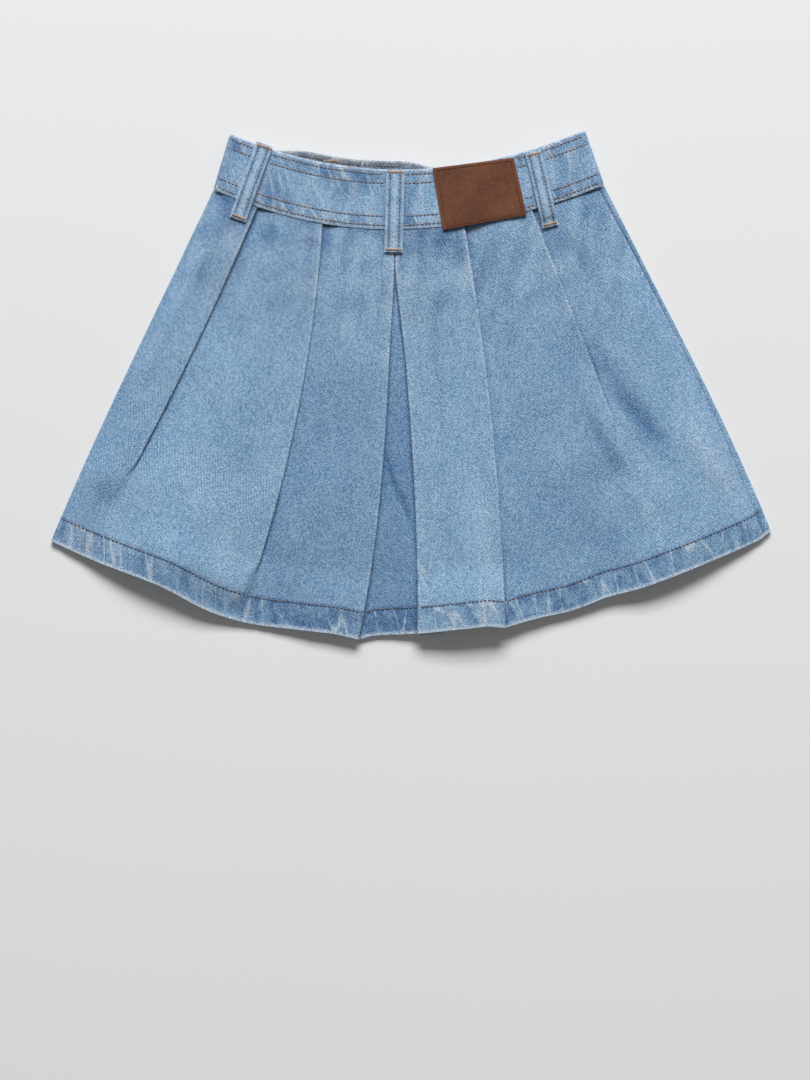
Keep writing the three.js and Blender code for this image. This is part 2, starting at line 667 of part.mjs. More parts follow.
function frontLoop({ x, lean }, surfaces) {
  const share = (x - WAIST_LINE.leftX) / (WAIST_LINE.rightX - WAIST_LINE.leftX);
  const [topX, topY] = bandPoint(share, FRONT_LOOP_TOP, true);
  const waistY = sag(WAIST_LINE, x) + frontRise(x);
  const bottom = [x + lean / 2, waistY - LOOP_BELOW_WAIST];
  return beltLoop({ top: [topX, topY], bottom, width: FRONT_LOOP_WIDTH }, surfaces, -1);
}

// Leather patch over the band
function leatherPatch(band) {
  const [topLeft, topRight, bottomRight, bottomLeft] = PATCH_CORNERS;
  const middle = [0, 1].map((axis) => PATCH_CORNERS.reduce((sum, corner) => sum + corner[axis] / 4, 0));
  const top = surfaceHeight(band, ...middle, 1) + GAP;
  const steps = [0, PATCH_EDGE, 0.5, 1 - PATCH_EDGE, 1];
  const rows = steps.map((down) => steps.map((across) => {
    const x = mix(mix(topLeft[0], topRight[0], across), mix(bottomLeft[0], bottomRight[0], across), down);
    const y = mix(mix(topLeft[1], topRight[1], across), mix(bottomLeft[1], bottomRight[1], across), down);
    const isEdge = Math.min(down, 1 - down, across, 1 - across) === 0;
    return { upper: [x, y, top + PATCH_WALL * (isEdge ? 0.75 : 1)], lower: [x, y, top] };
  }));
  return wallGeometry(rows);
}

// Shank button on the outside of the band, its face down
function button() {
  const depth = WAIST_LIFT - GAP;
  const profile = [
    [0, 0],
    [BUTTON_RADIUS - BUTTON_EDGE, 0],
    [BUTTON_RADIUS, BUTTON_EDGE],
    [BUTTON_RADIUS, depth * BUTTON_DEPTHS.rim],
    [BUTTON_RADIUS * SHANK_SHARE, depth * BUTTON_DEPTHS.shank],
    [BUTTON_RADIUS * SHANK_SHARE, depth],
    [0, depth],
  ].map(([radius, z]) => new THREE.Vector2(radius, z));
  return new THREE.LatheGeometry(profile, BUTTON_SIDES).rotateX(Math.PI / 2);
}

// Assembly
const skirt = new THREE.Group();

function addPiece(name, geometry, finish, position = [0, 0, 0]) {
  const mesh = new THREE.Mesh(geometry, new THREE.MeshStandardMaterial({ ...finish, flatShading: true }));
  mesh.name = name;
  mesh.position.set(...position);
  skirt.add(mesh);
}

const back = backPanel();
const band = waistband();
const frontLeft = frontLeftPanel();
const frontRight = frontRightPanel();
addPiece('back_panel', back, DENIM);
addPiece('front_left_panel', frontLeft, DENIM);
addPiece('front_right_panel', frontRight, DENIM);
addPiece('waistband', band, DENIM);
for (const loop of BACK_LOOPS) addPiece(loop.name, beltLoop(loop, [back, band], 1), DENIM);
for (const loop of FRONT_LOOPS) addPiece(loop.name, frontLoop(loop, [frontLeft, frontRight, band]), DENIM);
addPiece('leather_patch', leatherPatch(band), LEATHER);
const buttonShare = (BUTTON_X - WAIST_LINE.leftX) / (WAIST_LINE.rightX - WAIST_LINE.leftX);
const [buttonX, buttonY] = bandPoint(buttonShare, 0.5, true);
addPiece('button', button(), METAL, [buttonX, buttonY, 0]);

export default skirt;
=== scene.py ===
import math

import bpy
import numpy as np
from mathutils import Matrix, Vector
from mathutils.bvhtree import BVHTree


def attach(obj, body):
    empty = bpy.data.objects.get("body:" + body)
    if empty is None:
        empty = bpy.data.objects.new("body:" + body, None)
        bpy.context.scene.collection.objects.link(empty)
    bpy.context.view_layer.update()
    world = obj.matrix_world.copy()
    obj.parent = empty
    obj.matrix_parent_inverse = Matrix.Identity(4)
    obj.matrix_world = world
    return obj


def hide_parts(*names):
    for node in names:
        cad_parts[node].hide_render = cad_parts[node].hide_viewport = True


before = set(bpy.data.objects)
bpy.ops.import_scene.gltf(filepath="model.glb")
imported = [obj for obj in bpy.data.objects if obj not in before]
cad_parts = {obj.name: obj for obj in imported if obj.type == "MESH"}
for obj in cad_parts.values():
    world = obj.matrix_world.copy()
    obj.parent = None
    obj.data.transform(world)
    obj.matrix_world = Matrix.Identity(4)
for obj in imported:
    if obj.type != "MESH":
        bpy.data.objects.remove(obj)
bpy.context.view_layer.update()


def table(columns, rows):
    """Rows with named columns."""
    return [dict(zip(columns.split(), row)) for row in rows]


# Cloth, as in the solids
WALL, HEM_WALL, BAND_WALL, LOOP_WALL, PATCH_WALL = 1.0, 1.8, 2.4, 1.7, 1.4
GAP = 0.3
HEM_START, HEM_EASE = 0.931, 0.012
LENGTH = 285.0  # from the waist seam to the hem, on the whole

# Outline. A sagging line is lowest at low_x, and rises to both ends.
WAIST_LINE = dict(low_x=-15, low_y=108.2, left_x=-138.4, left_rise=28.1, right_x=135.4, right_rise=31.1)
BAND_TOP_LINE = dict(low_x=-8, low_y=150.6, left_x=-126.9, left_rise=25, right_x=122, right_rise=27.7)
HEM_LINE = np.array([
    (-252.7, -109.2), (-221.2, -123.2), (-173.6, -141.4), (-143.5, -157.5), (-115.5, -166.6),
    (-84.7, -170.8), (-50.0, -174.8), (-37.1, -178.2), (-27.3, -175.7), (4.2, -174.0),
    (41.3, -170.1), (56.0, -168.7), (66.2, -169.8), (83.3, -164.5), (114.8, -157.5),
    (137.2, -148.4), (156.8, -143.5), (175.0, -137.2), (212.1, -122.5), (247.1, -107.1),
    (252.7, -102.2),
])


def line(waist, hem, bow=0.0, skew=0.0, over="", laps=(0, 0, 0), **others):
    """A line from x at the waist to x at the hem, bent by bow and skew.

    With over it is a pleat, and that side lies on top. It laps as far as laps says at the waist,
    halfway and at the hem, opens from the share opens of the length and is flat from the share flat.
    The cloth under it hangs lower by drop. late swings the line near the waist, and worn scales the
    wear on its edge.
    """
    common = dict(opens=2.0, flat=3.0, drop=0.0, late=0.0, worn=1.0)
    return dict(common, waist=waist, hem=hem, bow=bow, skew=skew, over=over, laps=laps, **others)


CENTRE_FRONT_X = -1.4
LEFT_EDGE = line(-138.6, -252.7, -2, 0.5)
RIGHT_EDGE = line(135.6, 252.7, 3.5, 0.5)
BACK_LINES = [
    LEFT_EDGE,
    line(-107.1, -227.5, 4.2, 0, "left", (11, 18, 9), opens=0.68, flat=0.86, worn=0.8),
    line(-61.6, -119.7, 10.1, 0, "left", (14, 22, 3), opens=0.8, flat=1.0),
    line(-11.3, -36.4, 6, 0.5, "left", (15, 16, 9), late=1.0),
    line(-11.3, 4.2, 3.2, 0.6, "right", (15, 18, 17), drop=1.6, late=-2.0),
    line(37.5, 66.2, 5.6, 0, "left", (14, 18, 13)),
    line(85.1, 182.7, 1.4, 0, "left", (14, 15, 6), opens=0.52, flat=0.72, worn=0.7),
    RIGHT_EDGE,
]
FRONT_LEFT_LINES = [
    LEFT_EDGE,
    line(-88, -165, 0, 0, "right", (13, 15, 6), opens=0.68, flat=0.86),
    line(-46, -84, 0, 0, "right", (13, 15, 6), opens=0.68, flat=0.86),
    line(CENTRE_FRONT_X, 0),
]
FRONT_RIGHT_LINES = [
    line(CENTRE_FRONT_X, 0),
    line(43, 84, 0, 0, "left", (13, 15, 6), opens=0.68, flat=0.86),
    line(85, 165, 0, 0, "left", (13, 15, 6), opens=0.68, flat=0.86),
    RIGHT_EDGE,
]
LATE_FULL, LATE_ENDS = 0.1, 0.35  # where a late line is furthest off, and where it is back
SHORTEST_LAP, LAP_CLOSING, OPENING, LEAST_FALL = 1.6, 0.16, 0.1, 0.01
SLOPE_WIDTH, SLOPE_CENTRE = 9, 0.75
FOLD_MARGIN, LINE_MARGIN = 1.5, 3
LEFT_SEAM_INSET, RIGHT_SEAM_INSETS = 9, (4.6, 2.8, 6.6)
FRONT_HEM_INSET, FRONT_HEM_SIDE = 3, 30

# Heights
WAIST_LIFT, WAIST_LIFT_ENDS = 2.6, (0.08, 0.28)
SIDE_SLOPE, SIDE_SLOPE_STARTS = (0.008, 0.035), 0.15
FRONT_PLEATS_END = (0.76, 1.0)
HEM_STACK = (0.84, 0.945)  # over which the layers rise to the hem's own thickness
FRONT_FOLLOWS, FRONT_WAVE_START = 0.35, 0.62
WAVE_START, WAVE_END, WAVE_POWER = 0.42, 1.1, 1.5
WAVES = table("x reach height", [(-178, 76, 11), (44, 66, 8), (106, 50, 3), (182, 70, 9.5)])
HEM_SHIFT_START = 0.8
CROWN = 1.2
RELIEF_FULL = 4  # height from which the small unevenness is whole
# Unevenness that every layer shares, its waves longer down the cloth
SWELLS = table("height wavelength seed longer", [(0.38, 74, 7, 1.0), (0.13, 25, 8, 2.2)])
GATHERS = dict(height=0.28, at=0.03, width=0.06, squeeze=0.12, wavelength=15, seed=31)
BRIDGE_STEPS = 8  # columns added between a stretch and a fold

# Soft creases in the back: the points they run through, their height and their half width. The outside is
# also painted paler on their ridges as highlight and darker in their troughs as shade
CREASES = table("path amount width", [
    ([(4.2, -125), (6.8, -134), (10, -142)], 1.0, 1.8),
    ([(6, -122), (9.8, -133.7), (14.5, -143.5)], -1.3, 1.3),
    ([(-18.9, -48.3), (-10.5, -72.8), (-4.2, -84.7), (-0.7, -96.6)], -1.3, 1.7),
    ([(131.6, -17.5), (155.4, -74.2), (168.7, -93.1)], 0.9, 4.5),
    ([(128.8, -30.1), (140.7, -49.7), (152.6, -68.6)], -0.9, 4),
    ([(147.7, -9.8), (177.1, -39.2)], -0.8, 6),
    ([(195.3, -33.6), (218.4, -68.6)], 1.1, 7),
    ([(-196, -62), (-205, -88)], 0.3, 6),
    ([(96, 96), (118, 40), (139, -4)], 0.5, 3.5),
    ([(112, 100), (142, 52)], -0.5, 4),
    ([(-128, 96), (-158, 28)], 0.5, 5),
    ([(-40, 84), (-48, 30)], 0.4, 5),
    ([(60, 88), (72, 20)], -0.4, 5),
])
# Soft bands of painted shade, above 0, and painted highlight, below 0, along the back's soft folds
FOLD_SHADING_BANDS = table("path amount width", [
    ([(114.8, 37.8), (139.3, 6.3), (177.8, -46.2)], 0.5, 8),
    ([(135.8, -6.3), (156.8, -44.8), (174.3, -72.8)], -0.35, 5),
    ([(104.3, 20.3), (139.3, -41.3), (147.7, -62.3)], 0.3, 9),
    ([(195.3, -14.7), (209.3, -46.2), (223.3, -72.8)], -0.4, 8),
    ([(51, -146), (56, -166)], -0.7, 5),
    ([(-240, -102), (-222, -116)], -0.5, 9),
    ([(44, -60), (54, -140)], -0.3, 6),
    ([(-176, 30), (-188, -10)], -0.25, 12),
    ([(-150, -60), (-120, -130)], -0.25, 16),
    ([(-205, -70), (-190, -100)], 0.25, 12),
    ([(90, -70), (150, -120)], 0.25, 14),
])
# How far a band reaches past its ends, and where it fades at its start, as shares of its length
BAND_REACH, BAND_FADE = 0.4, (-0.35, 0.25)
# Cloth that kept more of its blue, under and beside the loops and the band
DEEP_SPOTS = table("x y across down depth", [
    (-124, 119, 14, 15, 0.95),
    (-71, 100, 15, 7, 0.8),
    (8, 101, 36, 11, 0.9),
    (32, 94, 7, 14, 0.5),
    (102, 104, 9, 8, 0.5),
    (128, 118, 10, 12, 0.35),
    (-100, 108, 6, 12, 0.4),
])

# Painted shade on each part of the back, from the left edge to the right, as its tilt to the light makes
# it darker, or paler below 0
PANEL_PAINTED_SHADE = (0.16, 0.0, 0.34, 0.46, -0.12, 0.14, 0.02)
PANEL_PAINTED_SHADE_START = (0.15, 0.55)
# Worn cloth beside a fold, on the side that lies on top: how far off, how much and how wide
FOLD_WEAR = table("away amount width", [(-1.1, 0.34, 0.9), (-3.5, 0.07, 3), (-11, 0.06, 9)])
# Painted shadow on the cloth beneath a fold's edge: a dark line just past the edge and a soft fall-off
# further on
FOLD_SHADE = dict(line=0.75, line_away=0.3, line_width=0.9, soft=0.16, soft_width=9)
# The side seam that shows is clearest at the waist and at the hem
SEAM_CLEAR = dict(least=0.12, waist=0.88, waist_ends=(0.25, 0.45), hem=0.4, hem_starts=(0.9, 0.94))
SEAM_PALE = dict(amount=0.5, away=-0.6, width=0.8)
SEAM_DARK_WIDTH = 1.3
MOTTLED_END, MOTTLED_WEAR, MOTTLED_SHADE = (0.08, 0.4), 0.13, 0.35
CREASE_HIGHLIGHT, CREASE_SHADE, FOLD_BAND_HIGHLIGHT = 0.2, 0.45, 0.45
PUCKER_LENGTH, PUCKER_HEIGHT, PUCKERS_BELOW = 13, 0.26, 0.3
HEM_EDGE, HEM_EDGE_WEAR, HEM_STITCH_SHADE = (0.990, 0.996), 0.75, 0.6
BACK_ROWS, BACK_COLUMNS, BACK_SETTLE = 88, 24, 1.0
FRONT_ROWS, FRONT_COLUMNS, FRONT_SETTLE = 60, 22, 0.24

# Number helpers


def mix(a, b, share):
    return a + (b - a) * share


def ease(low, high, value):
    share = np.clip((value - low) / (high - low), 0, 1)
    return share * share * (3 - 2 * share)


def bell(distance, width):
    return np.exp(-((distance / width) ** 2))


def through_three(values, t):
    waist, middle, hem = values
    return waist * (1 - t) * (1 - 2 * t) + middle * 4 * t * (1 - t) + hem * t * (2 * t - 1)


def ripple(x, y, wavelength, seed, stretch=(1.0, 1.0), count=9):
    """Even but irregular waves about 0, mostly within -1 and 1."""
    rng = np.random.default_rng(seed)
    total = 0.0
    for _ in range(count):
        angle, phase, longer = rng.uniform(0, math.pi), rng.uniform(0, 2 * math.pi), rng.uniform(0.7, 1.5)
        along = x * math.cos(angle) / stretch[0] + y * math.sin(angle) / stretch[1]
        total = total + np.sin(along * 2 * math.pi / (wavelength * longer) + phase)
    return total / math.sqrt(count)


# The outline and the pleat lines, as seen from above


def sag(shape, x):
    end = np.where(x < shape["low_x"], shape["left_x"], shape["right_x"])
    rise = np.where(x < shape["low_x"], shape["left_rise"], shape["right_rise"])
    return shape["low_y"] + rise * ((x - shape["low_x"]) / (end - shape["low_x"])) ** 2


def hem_y(x):
    last = len(HEM_LINE) - 2
    i = int(np.clip(np.searchsorted(HEM_LINE[:, 0], x) - 1, 0, last))
    a, b = HEM_LINE[i], HEM_LINE[i + 1]
    before, after = HEM_LINE[max(0, i - 1)], HEM_LINE[min(last + 1, i + 2)]
    width = b[0] - a[0]
    s = (x - a[0]) / width
    slope_a = (b[1] - before[1]) / (b[0] - before[0]) * width
    slope_b = (after[1] - a[1]) / (after[0] - a[0]) * width
    return (a[1] * (2 * s**3 - 3 * s**2 + 1) + slope_a * (s**3 - 2 * s**2 + s)
            + b[1] * (3 * s**2 - 2 * s**3) + slope_b * (s**3 - s**2))


def front_rise(x):
    return 6.1 * ease(-112, -76, x) * (1 - ease(-6, 26, x))


def line_point(shape, t, is_front):
    swing = 4 * shape["bow"] * t * (1 - t) * (1 + shape["skew"] * (2 * t - 1))
    swing += shape["late"] * ease(0, LATE_FULL, t) * (1 - ease(LATE_FULL, LATE_ENDS, t))
    waist_y = sag(WAIST_LINE, shape["waist"]) + (front_rise(shape["waist"]) if is_front else 0)
    return mix(shape["waist"], shape["hem"], t) + swing, mix(waist_y, hem_y(shape["hem"]), t)


class Curve:
    """A curve seen from above, measured along itself."""

    def __init__(self, points, marks=()):
        self.points = np.array(points, float)
        steps = np.hypot(*np.diff(self.points, axis=0).T)
        self.lengths = np.concatenate([[0], np.cumsum(steps)])
        self.total = self.lengths[-1]
        self.marks = self.lengths[list(marks)] if len(marks) else []

    def at(self, length):
        length = np.asarray(length, float)
        i = np.clip(np.searchsorted(self.lengths, length, side="right"), 1, len(self.lengths) - 1)
        share = (length - self.lengths[i - 1]) / (self.lengths[i] - self.lengths[i - 1])
        return mix(self.points[i - 1], self.points[i], share[..., None])


LINE_SHAPE = ("waist", "hem", "bow", "skew", "late")


def row_curve(lines, t, is_front, steps=10):
    """The cloth's way across at one height, with a mark at each line."""
    points, marks = [line_point(lines[0], t, is_front)], [0]
    for a, b in zip(lines, lines[1:]):
        is_closed = abs(a["waist"] - b["waist"]) * (1 - t) + abs(a["hem"] - b["hem"]) * t < 1e-6
        for step in range(1, 0 if is_closed else steps + 1):
            between = {key: mix(a[key], b[key], step / steps) for key in LINE_SHAPE}
            points.append(line_point(between, t, is_front))
        marks.append(len(points) - 1)
    return Curve(points, marks)


# Heights of the layers


def hem_share(t):
    return ease(HEM_START - HEM_EASE, HEM_START + HEM_EASE, t)


def half_wall(t):
    return mix(WALL, HEM_WALL, hem_share(t)) / 2


def stack_half(t):
    """Half a wall as the heights of the layers count it, rising slowly to the hem."""
    return mix(WALL, HEM_WALL, ease(*HEM_STACK, t)) / 2


def pitch(t):
    return 2 * stack_half(t) + GAP * (1 + ease(*HEM_STACK, t))


def wave(x, t, start):
    height = 0.0
    for hill in WAVES:
        away = np.clip((x - hill["x"]) / hill["reach"], -1, 1)
        height = height + hill["height"] * np.cos(away * math.pi / 2) ** 2
    return height * (ease(start, WAVE_END, t) / ease(start, WAVE_END, 1)) ** WAVE_POWER


def lift(t):
    return WAIST_LIFT * (1 - ease(*WAIST_LIFT_ENDS, t))


def front_height(x, t):
    return stack_half(t) + lift(t) + FRONT_FOLLOWS * wave(x, t, FRONT_WAVE_START)


def back_height(x, t):
    left, right = line_point(LEFT_EDGE, t, False)[0], line_point(RIGHT_EDGE, t, False)[0]
    share = (x - left) / (right - left)
    side = 1 - ease(*SIDE_SLOPE, share) * ease(*SIDE_SLOPE, 1 - share)
    over_pleats = 1 - side * ease(0, SIDE_SLOPE_STARTS, t)
    pleats = 2 * pitch(t) * over_pleats * (1 - ease(*FRONT_PLEATS_END, t))
    return 3 * stack_half(t) + lift(t) + pleats + GAP + wave(x, t, WAVE_START)


def beside_run(a, b, x, y, reach=0.0):
    """How far along the run from a to b a place lies, as a share, and how far from it."""
    run = np.subtract(b, a)
    share = np.clip(((x - a[0]) * run[0] + (y - a[1]) * run[1]) / (run @ run), -reach, 1 + reach)
    return share, np.hypot(x - a[0] - share * run[0], y - a[1] - share * run[1])


def banded(bands, x, y):
    """What a table of soft bands adds at a place, fading at the ends of their paths."""
    total = np.zeros_like(x)
    for band in bands:
        path = np.array(band["path"])
        lengths = np.concatenate([[0], np.cumsum(np.hypot(*np.diff(path, axis=0).T))])
        best, along = np.full_like(x, 1e9), np.zeros_like(x)
        for a, b, start, end in zip(path, path[1:], lengths, lengths[1:]):
            share, away = beside_run(a, b, x, y, BAND_REACH)
            along = np.where(away < best, mix(start, end, share), along)
            best = np.minimum(best, away)
        along = along / lengths[-1]
        fade = ease(*BAND_FADE, along) * ease(*BAND_FADE, 1 - along)
        total += band["amount"] * bell(best, band["width"]) * fade
    return total


def relief(x, y, z, t):
    """Small unevenness that every layer shares, so that no layer meets another. None at the floor."""
    body = ease(0.0, 0.12, t)
    gathers = GATHERS["height"] * bell(t - GATHERS["at"], GATHERS["width"])
    gathers = gathers * ripple(x, y * GATHERS["squeeze"], GATHERS["wavelength"], GATHERS["seed"])
    swells = sum(row["height"] * ripple(x, y, row["wavelength"], row["seed"], (1.0, row["longer"]))
                 for row in SWELLS)
    return (body * swells + gathers + banded(CREASES, x, y)) * np.clip(z / RELIEF_FULL, 0, 1)


# Rows of a pleated panel


def pleat_step(shape, t):
    return float(1 - ease(shape["opens"] + OPENING, shape["flat"], t)) if shape["over"] else 0.0


def pleat_points(shape, t, outward, steps=7):
    """The cloth from its outer to its inner level, as two arcs that turn by the same angle."""
    half = half_wall(t)
    fall = max(2 * pitch(t) * pleat_step(shape, t), LEAST_FALL)
    opening = float(ease(shape["opens"], shape["opens"] + OPENING, t))
    angle = mix(math.pi, 2 * math.atan(fall / SLOPE_WIDTH), opening)
    radius = fall / (2 * (1 - math.cos(angle)))
    closing = min(1.0, max(0.0, (shape["opens"] - t) / LAP_CLOSING))
    lap = max(SHORTEST_LAP, through_three(shape["laps"], t) * closing)
    fold_start = -(radius + half + GAP / 2)
    start = mix(fold_start, -radius * math.sin(angle) * 2 * SLOPE_CENTRE, opening)
    straight = (1 - opening) * max(0, lap + fold_start)
    first = np.linspace(0, angle, steps + 1)
    second = angle - first
    shift = np.concatenate([radius * np.sin(first),
                            radius * (2 * math.sin(angle) - np.sin(second)) - straight]) + start
    falls = np.concatenate([radius * (1 - np.cos(first)),
                            radius * (1 - 2 * math.cos(angle) + np.cos(second))])
    heading = np.concatenate([first, second])
    drop = np.where(np.arange(len(shift)) < (steps + 1) // 2, 0.0, shape["drop"])
    reach = max(lap * (1 - opening), -start) + radius * (1 - opening) + half + FOLD_MARGIN
    points = dict(shift=shift, fall=falls, nx=outward * np.sin(heading), nz=np.cos(heading), drop=drop)
    if shape["over"] == "right":
        points = {key: value[::-1].copy() for key, value in points.items()}
        points["shift"] *= -1
        points["nx"] *= -1
    return points, lap, reach


def stretch_end(shape, pleat, mark, t, side):
    """Where the cloth next to a pleat starts or ends, and its share of the step there."""
    is_upper = (shape["over"] == "left") == (side < 0)
    away = pleat[2] if is_upper else LINE_MARGIN
    return [mark + side * away, pleat_step(shape, t) if is_upper else 0]


def stations(lines, t, curve, outward, start_at, end_at, steps, settle):
    """Columns of one row: at, height, nx, nz, drop and the number of the part between two pleats
    that they belong to. A column with nx 0 and nz 0 finds its own normal."""
    rise = 2 * pitch(t)
    shares = np.linspace(0, 1, steps)
    parts, pleat = [], None
    for i in range(1, len(lines)):
        last, here = lines[i - 1], lines[i]
        after = pleat_points(here, t, outward) if i < len(lines) - 1 else None
        low = stretch_end(last, pleat, curve.marks[i - 1], t, 1) if pleat else [start_at, 0]
        high = stretch_end(here, after, curve.marks[i], t, -1) if after else [end_at, 0]
        is_underlay = bool(pleat and after and last["over"] == "left" and here["over"] == "right")
        if is_underlay:
            low[0], high[0] = curve.marks[i - 1] - pleat[1] / 2, curve.marks[i] + after[1] / 2
        if outward < 0:
            low[1] = pleat_step(last, t) - low[1] if pleat else 0
            high[1] = pleat_step(here, t) - high[1] if after else 0
        level = low[1] * (1 - ease(0, settle, shares)) + high[1] * (1 - ease(0, settle, 1 - shares))
        crown = 0 if is_underlay or outward < 0 else CROWN * (1 - ease(*HEM_STACK, t))
        height = level * rise + crown * 4 * shares * (1 - shares)
        blank = np.zeros(steps)
        parts.append(np.stack([mix(low[0], high[0], shares), height, blank, blank, blank, blank + i]))
        if after:
            points = after[0]
            top = pleat_step(here, t) * rise
            level = top - points["fall"] if outward > 0 else points["fall"]
            owner = i + (np.arange(len(level)) >= len(level) // 2)
            parts.append(np.stack([curve.marks[i] + points["shift"], level, points["nx"], points["nz"],
                                   points["drop"], owner]))
        pleat = after
    return np.concatenate(bridged(parts), axis=1)


def bridged(parts):
    """Adds columns between a stretch and a fold, closer together at the fold's own edge."""
    result = [parts[0]]
    for index, (before, after) in enumerate(zip(parts, parts[1:])):
        start, end = before[:, -1], after[:, 0]
        shares = np.linspace(0, 1, BRIDGE_STEPS + 2)[1:-1]
        shares = 1 - (1 - shares) ** 1.7 if index % 2 == 0 else shares**1.7
        columns = mix(start[:, None], end[:, None], shares)
        columns[2:4] = 0
        columns[5] = before[5, -1]
        result += [columns, after]
    return result


def side_turn(outline_at, inward, half, low_z, high_z, goes_up, steps=8):
    """Columns of a half turn round the side: at, height of the middle, nx, nz."""
    radius = (high_z - low_z) / 2
    angle = np.linspace(0, math.pi, steps + 1)
    side = -1 if inward > 0 else 1
    upper_side = 1 if goes_up == (inward > 0) else -1
    columns = np.stack([
        outline_at + inward * (radius + half - radius * np.sin(angle)),
        (low_z + high_z) / 2 - radius * np.cos(angle),
        upper_side * side * np.sin(angle),
        -upper_side * np.cos(angle),
    ])
    return columns if goes_up else columns[:, ::-1]


def wall_row(curve, t, half, at, z, nx, nz, drop):
    """The upper and lower points of one row."""
    before, after = np.roll(np.arange(len(at)), 1), np.roll(np.arange(len(at)), -1)
    before[0], after[-1] = 0, len(at) - 1
    found = (nx == 0) & (nz == 0)
    nx = np.where(found, -(z[after] - z[before]), nx)
    nz = np.where(found, at[after] - at[before], nz)
    size = np.hypot(nx, nz)
    rows = []
    for side in (1, -1):
        xy = curve.at(at + side * half * nx / size)
        y = xy[:, 1] - drop * ease(HEM_SHIFT_START, 1, t)
        height = z + side * half * nz / size
        rows.append(np.stack([xy[:, 0], y, height + relief(xy[:, 0], y, height, t)], axis=1))
    return rows


def pleat_wear_and_shadow(lines, curve, at, owner, t):
    """How worn the cloth is beside each pleat's fold, and the painted shadow on the cloth beneath its
    edge.
    """
    wear, shade = np.zeros_like(at), np.zeros_like(at)
    for i, (shape, mark) in enumerate(zip(lines, curve.marks)):
        if not shape["over"]:
            continue
        is_left = shape["over"] == "left"
        away = (at - mark) * (1 if is_left else -1)
        is_top = owner == (i if is_left else i + 1)
        is_under = owner == (i + 1 if is_left else i)
        stands = pleat_step(shape, t) * (1 - ease(shape["opens"] - 0.02, shape["opens"] + OPENING, t))
        softly = 0.6 + 0.3 * float(ripple(t * LENGTH, shape["hem"], 30, 12))
        softly += 0.9 * float(bell(t - 0.12, 0.12))
        edge = sum(row["amount"] * bell(away - row["away"], row["width"]) for row in FOLD_WEAR)
        wear += shape["worn"] * stands * softly * np.where(is_top, edge, 0)
        # Painted shadow beneath the fold's edge
        under = FOLD_SHADE["line"] * bell(away - FOLD_SHADE["line_away"], FOLD_SHADE["line_width"])
        under += FOLD_SHADE["soft"] * np.exp(-np.abs(away) / FOLD_SHADE["soft_width"])
        shade += stands * np.where(is_under, under, 0)
    return wear, shade


def hem_wear(at, t):
    """The hem's puckers, the wear on its edge, the shade by its stitches, and how roped it is."""
    inside = ease(HEM_START + 0.001, HEM_START + 0.006, t)
    phase = (at + t * LENGTH * 0.4) * 2 * math.pi / PUCKER_LENGTH + 2.2 * ripple(at, 0 * at, 70, 3)
    height = PUCKER_HEIGHT * ease(HEM_START - 0.02, HEM_START + 0.02, t) * np.sin(phase)
    height *= 0.7 + 0.3 * ripple(at, 0 * at, 31, 4)
    edge = ease(*HEM_EDGE, t)
    sunk = HEM_STITCH_SHADE * bell(t - (HEM_START + 0.003), 0.005)
    return height, HEM_EDGE_WEAR * edge, sunk, inside * (1 - 0.6 * edge)


def seam_wear_and_shade(beside, t, is_outer_up):
    """How worn the cloth is beside the side seam that shows, paler on the back's edge, and the painted
    shade in the seam's gap on the front's cloth beside it.
    """
    clear = SEAM_CLEAR["least"] + SEAM_CLEAR["waist"] * (1 - ease(*SEAM_CLEAR["waist_ends"], t))
    clear += SEAM_CLEAR["hem"] * ease(*SEAM_CLEAR["hem_starts"], t)
    if is_outer_up:
        return SEAM_PALE["amount"] * clear * bell(beside - SEAM_PALE["away"], SEAM_PALE["width"]), 0.0
    # Painted shade in the seam's gap
    return 0.0, clear * bell(beside, SEAM_DARK_WIDTH)


def spots(x, y):
    """How much of its blue the cloth kept at the deep spots."""
    deep = np.zeros_like(x)
    for spot in DEEP_SPOTS:
        deep += spot["depth"] * bell(x - spot["x"], spot["across"]) * bell(y - spot["y"], spot["down"])
    return deep


def mesh_object(name, points, faces, materials, sharp=None):
    """A smooth object of points in millimetres, with sharp edges from an angle in degrees."""
    mesh = bpy.data.meshes.new(name)
    mesh.from_pydata((np.array(points) / 1000).tolist(), [], faces)
    for material in materials:
        mesh.materials.append(material)
    mesh.shade_smooth()
    if sharp:
        mesh.set_sharp_from_angle(angle=math.radians(sharp))
    obj = bpy.data.objects.new(name, mesh)
    bpy.context.scene.collection.objects.link(obj)
    return obj


